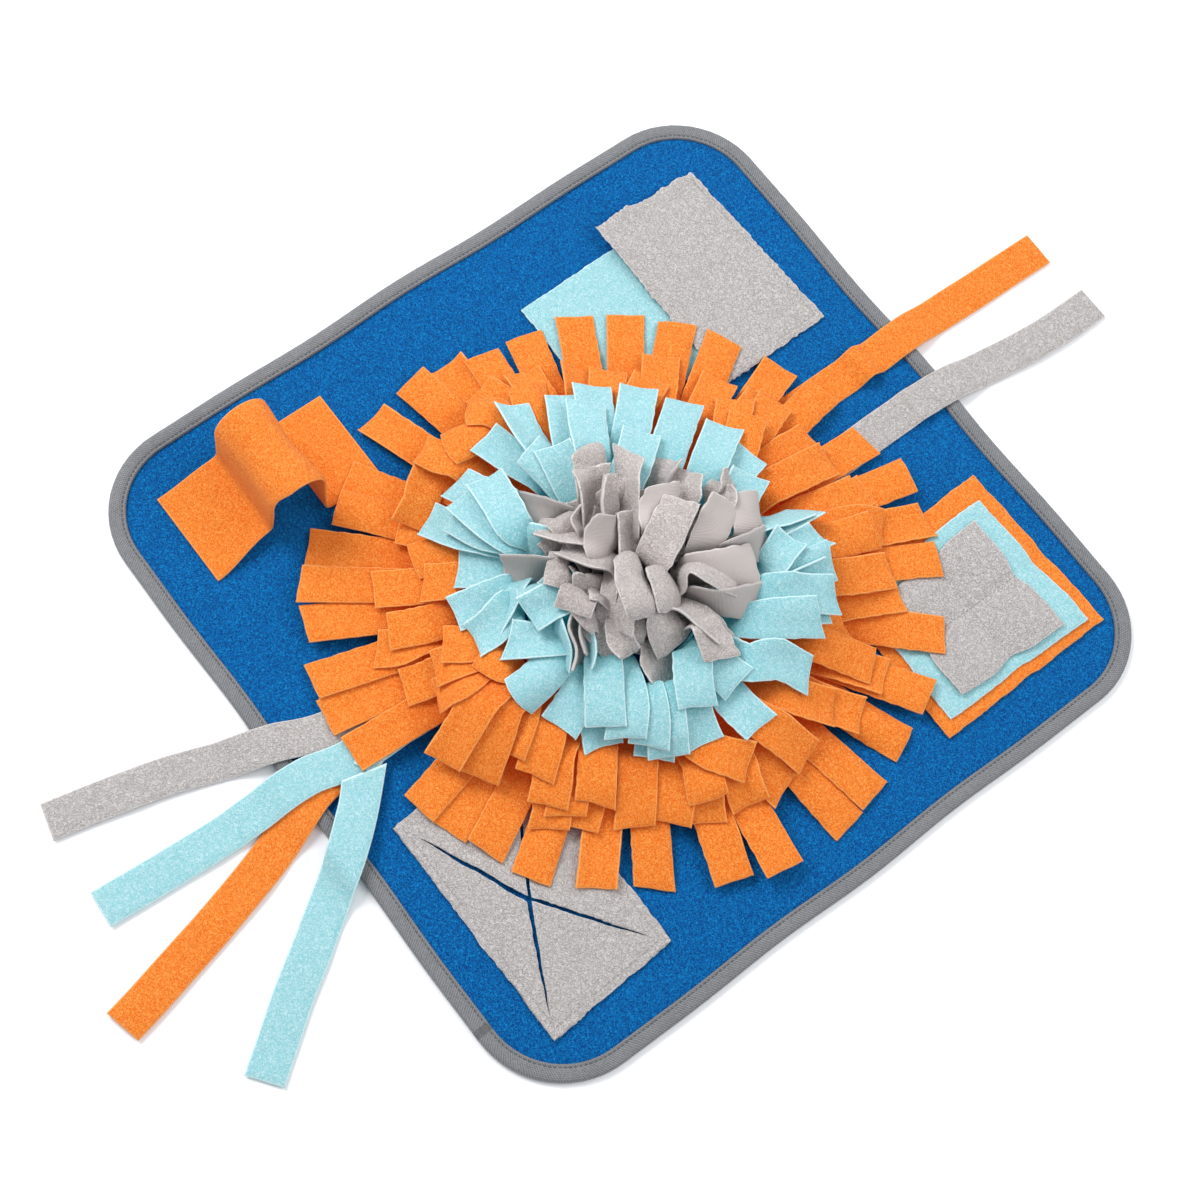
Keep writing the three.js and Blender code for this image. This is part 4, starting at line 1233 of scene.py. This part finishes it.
TUFT_GREY = [(0.56, 0.51, 0.49), (0.32, 0.27, 0.26), (0.78, 0.73, 0.71)]
TUFT_ROWS = 34
TUFT_FRAY = 1.6 * STRIP_FRAY
FOOT_HALF, KNEE_HALF, UNDER_HALF = 6, 9, 7
LEAN_RISES = np.arange(0, 30, 0.5)
FUZZY, RIBBED = 0, 1
# The strips of the tuft: places seen on both edges, and their height; lean; cup; side shown.
OUTER_GREY = [
    ([((562, 573), (560, 556), 50), ((530, 583), (530, 553), 54),
      ((506, 583), (499, 553), 50)], -1, 3, RIBBED),
    ([((572, 532), (575, 507), 50), ((545, 533), (548, 497), 53),
      ((507, 525), (520, 490), 48)], -1, 2, RIBBED),
    ([((578, 500), (602, 500), 56), ((574, 470), (608, 468), 66),
      ((574, 453), (606, 449), 70), ((580, 446), (602, 443), 64)], 1, -2, FUZZY),
    ([((588, 606), (596, 604), 58), ((580, 630), (590, 632), 54),
      ((585, 655), (594, 656), 48)], 1, 1, FUZZY),
    ([((580, 602), (587, 600), 58), ((567, 625), (578, 627), 56),
      ((574, 650), (585, 650), 52), ((570, 671), (579, 672), 46)], 1, 2, FUZZY),
    ([((590, 604), (618, 590), 60), ((579, 624), (618, 612), 62),
      ((598, 652), (632, 630), 56), ((612, 671), (641, 647), 46)], -1, 2, FUZZY),
    ([((640, 640), (672, 635), 46), ((640, 665), (674, 662), 42),
      ((652, 684), (670, 698), 36)], 1, 1, FUZZY),
    ([((690, 628), (712, 614), 62), ((697, 645), (728, 633), 60),
      ((704, 663), (741, 656), 54)], 1, 1, FUZZY),
    ([((690, 585), (682, 598), 56), ((722, 588), (722, 614), 58),
      ((766, 580), (749, 621), 48)], 1, 2, RIBBED),
    ([((722, 543), (722, 568), 56), ((748, 530), (752, 562), 56),
      ((763, 524), (775, 560), 46)], 1, 2, RIBBED),
    ([((733, 536), (762, 537), 54), ((733, 512), (761, 510), 60),
      ((735, 492), (759, 490), 58)], 1, -3, RIBBED),
    ([((704, 505), (735, 508), 58), ((705, 488), (738, 494), 60),
      ((713, 480), (732, 485), 56)], -1, 2, FUZZY),
    ([((716, 492), (735, 494), 52), ((720, 478), (735, 480), 52),
      ((724, 467), (733, 468), 48)], 1, 1, FUZZY),
    ([((650, 486), (672, 482), 52), ((655, 468), (680, 470), 54),
      ((662, 453), (684, 463), 48)], -1, 6, FUZZY),
]
MIDDLE_GREY = [
    ([((588, 550), (588, 526), 60), ((560, 543), (560, 521), 62),
      ((532, 536), (540, 520), 57)], 1, 2, FUZZY),
    ([((578, 538), (600, 536), 56), ((569, 520), (598, 519), 62),
      ((580, 503), (598, 506), 60)], 1, 2, FUZZY),
    ([((582, 528), (602, 526), 54), ((577, 490), (605, 490), 64),
      ((571, 470), (611, 462), 69)], 1, 3, FUZZY),
    ([((618, 540), (640, 540), 52), ((616, 505), (641, 503), 60),
      ((615, 475), (641, 475), 64), ((613, 443), (645, 458), 60)], -1, 1, FUZZY),
    ([((602, 532), (614, 532), 58), ((598, 505), (615, 502), 68),
      ((602, 475), (613, 473), 70)], 1, 5, FUZZY),
    ([((672, 500), (700, 502), 60), ((670, 485), (702, 487), 62),
      ((676, 467), (704, 475), 57)], -1, 2, FUZZY),
    ([((642, 530), (670, 532), 66), ((640, 505), (678, 510), 70),
      ((649, 486), (681, 480), 72)], 1, -3, RIBBED),
    ([((683, 550), (721, 546), 64), ((697, 518), (731, 528), 70),
      ((713, 490), (740, 508), 70)], 1, 1, RIBBED),
    ([((683, 556), (690, 587), 60), ((715, 549), (722, 587), 66),
      ((752, 543), (761, 586), 58)], 1, -2, RIBBED),
    ([((674, 611), (684, 600), 62), ((697, 628), (712, 611), 60),
      ((718, 646), (735, 637), 50)], 1, 2, FUZZY),
    ([((650, 610), (674, 604), 64), ((648, 635), (683, 620), 62),
      ((659, 661), (693, 631), 50)], 1, -3, FUZZY),
    ([((605, 618), (645, 610), 62), ((606, 643), (646, 632), 60),
      ((618, 659), (641, 647), 53)], 1, 2, FUZZY),
    ([((574, 602), (598, 607), 52), ((572, 588), (604, 593), 64),
      ((575, 572), (602, 577), 70), ((581, 575), (603, 581), 63)], 1, 0, FUZZY),
    ([((612, 575), (618, 560), 62), ((585, 568), (592, 550), 68),
      ((552, 555), (565, 545), 64)], 1, 3, FUZZY),
]
TOP_GREY = [
    ([((617, 562), (642, 562), 56), ((617, 535), (642, 535), 62),
      ((616, 512), (641, 508), 67)], 1, 2, FUZZY),
    ([((590, 562), (612, 562), 58), ((585, 540), (621, 541), 68),
      ((594, 521), (621, 520), 74), ((604, 514), (619, 513), 74)], 1, -5, RIBBED),
    ([((605, 570), (628, 570), 66), ((600, 597), (638, 600), 71),
      ((593, 617), (633, 639), 62)], -1, 2, FUZZY),
    ([((646, 566), (668, 571), 68), ((655, 590), (681, 590), 72),
      ((660, 614), (682, 607), 65)], 1, -3, FUZZY),
    ([((636, 553), (668, 572), 66), ((648, 522), (685, 540), 75),
      ((665, 494), (701, 504), 77)], -1, 1, FUZZY),
    ([((615, 556), (637, 553), 73), ((618, 585), (648, 580), 80),
      ((626, 608), (658, 600), 79), ((630, 621), (660, 614), 72)], 1, -3, FUZZY),
    ([((675, 592), (684, 592), 56), ((677, 570), (688, 573), 68),
      ((696, 557), (700, 576), 73), ((718, 559), (721, 590), 66),
      ((734, 562), (737, 597), 57)], -1, -1, FUZZY),
]
TUFT = [  # name, CAD node, root radius, strips, and the short strips below them, as follows:
    # their count, crown, its height, reach, and height of the tips
    ("outer_grey_fringe", "fringe_grey_outer", 39, OUTER_GREY, (16, 45, 44, 53, 40)),
    ("middle_grey_fringe", "fringe_grey_middle", 25, MIDDLE_GREY, (11, 30, 38, 36, 34)),
    ("top_grey_fringe", "fringe_grey_top", 11, TOP_GREY, (5, 13, 40, 16, 38)),
]


def seen_edges(sections, lean):
    """Both long edges of a strip from the places seen on them, leaning till it has its full width."""
    left, right = [], []
    for first, second, height in sections:
        firsts = [seen(*first, height + lean * rise / 2) for rise in LEAN_RISES]
        seconds = [seen(*second, height - lean * rise / 2) for rise in LEAN_RISES]
        apart = np.linalg.norm(np.subtract(firsts, seconds), axis=1)
        nearest = np.argmin(abs(apart - STRIP_WIDTH))
        left.append(firsts[nearest])
        right.append(seconds[nearest])
    left, right = np.array(left), np.array(right)
    turned = np.cross(np.diff(left + right, axis=0), (right - left)[1:])
    if np.sum(turned @ VIEW_AXES[2]) < 0:
        return right, left
    return left, right


def edged_strip(left, right, root, cup, seed):
    """Middle grid, shares and length of a strip from its foot up along its two long edges."""
    start = (left[0] + right[0])[:2] / 2 - FLOWER_CENTRE
    outwards = start / np.linalg.norm(start)
    around = np.array([-outwards[1], outwards[0]])
    around *= math.copysign(1, (right[0] - left[0])[:2] @ around)
    rows = []
    halfway = (root + np.linalg.norm(start)) / 2
    for radius, height, half in ((root, MAT_TOP + 1, FOOT_HALF), (halfway, 0.55 * left[0, 2], KNEE_HALF)):
        place = FLOWER_CENTRE + outwards * radius
        rows.append([*(place - around * half), height, *(place + around * half), height])
    rows += [[*a, *b] for a, b in zip(left, right)]
    curve = smooth_line(rows)
    curve = np.hstack([(curve[:, :3] + curve[:, 3:]) / 2, (curve[:, 3:] - curve[:, :3]) / 2])
    places, shares, length = even_line(curve, TUFT_ROWS)
    centre, apart = places[:, :3], places[:, 3:]
    normal = unit(np.cross(np.gradient(centre, axis=0), apart))
    widths = cut_positions(-1, 1, STRIP_COLUMNS, CUT_EDGE / STRIP_WIDTH * 2)
    loose = smooth((shares - 0.2) / 0.5)[:, None]
    unevenness = ripple(shares[:, None] * 60 + 0 * widths, widths * 12 + 0 * shares[:, None], 30, seed)
    offset = loose * (cup * (widths ** 2 - 0.4)[None, :] + 1.1 * unevenness)
    middle = centre[:, None] + apart[:, None] * widths[None, :, None] + normal[:, None] * offset[..., None]
    return middle, shares, length


tuft_fleece = fleece("tuft fleece", *TUFT_GREY, grain=1.4, pile=1.8, contrast=0.6, ribs=True)
for level, (name, node, root, strips, short_strips) in enumerate(TUFT):
    draw = np.random.default_rng(300 + level)
    sheets, lengths = [cloth(sewn_ring(root), ring=True, side=FUZZY)], []
    count, crown, height, reach, tip = short_strips
    for number in draw.permutation(count):
        scatter = draw.uniform(-1, 1, 6)
        turn = 2 * math.pi * (number + 0.4 * scatter[0]) / count
        curve = dome_line(turn, root, crown, height + 2 * scatter[1], reach, tip, 8 * scatter[2])
        rolls, cup, slant = (0, 0.3 * scatter[3]), 2.5 * scatter[4], 2 * scatter[5]
        middle, shares, length = hung_strip(curve, UNDER_HALF, 0.5, rolls, cup, slant, 7000 + number)
        lengths.append(length)
        # Scaled-down shares carry the painted shade of buried cloth further along these short strips under
        # the tuft.
        along, depth = shares * length, 0.6 * shares
        sheets.append(cloth(middle, side=FUZZY, along=along, shares=depth, fray=STRIP_FRAY))
    for number, (sections, lean, cup, side) in enumerate(strips):
        seed = 5000 + 100 * level + number
        middle, shares, length = edged_strip(*seen_edges(sections, lean), root, cup, seed)
        lengths.append(length)
        sheets.append(cloth(middle, side=side, along=shares * length, shares=shares, fray=TUFT_FRAY))
    under_band = sewn_band(name, node, tuft_fleece, sheets)
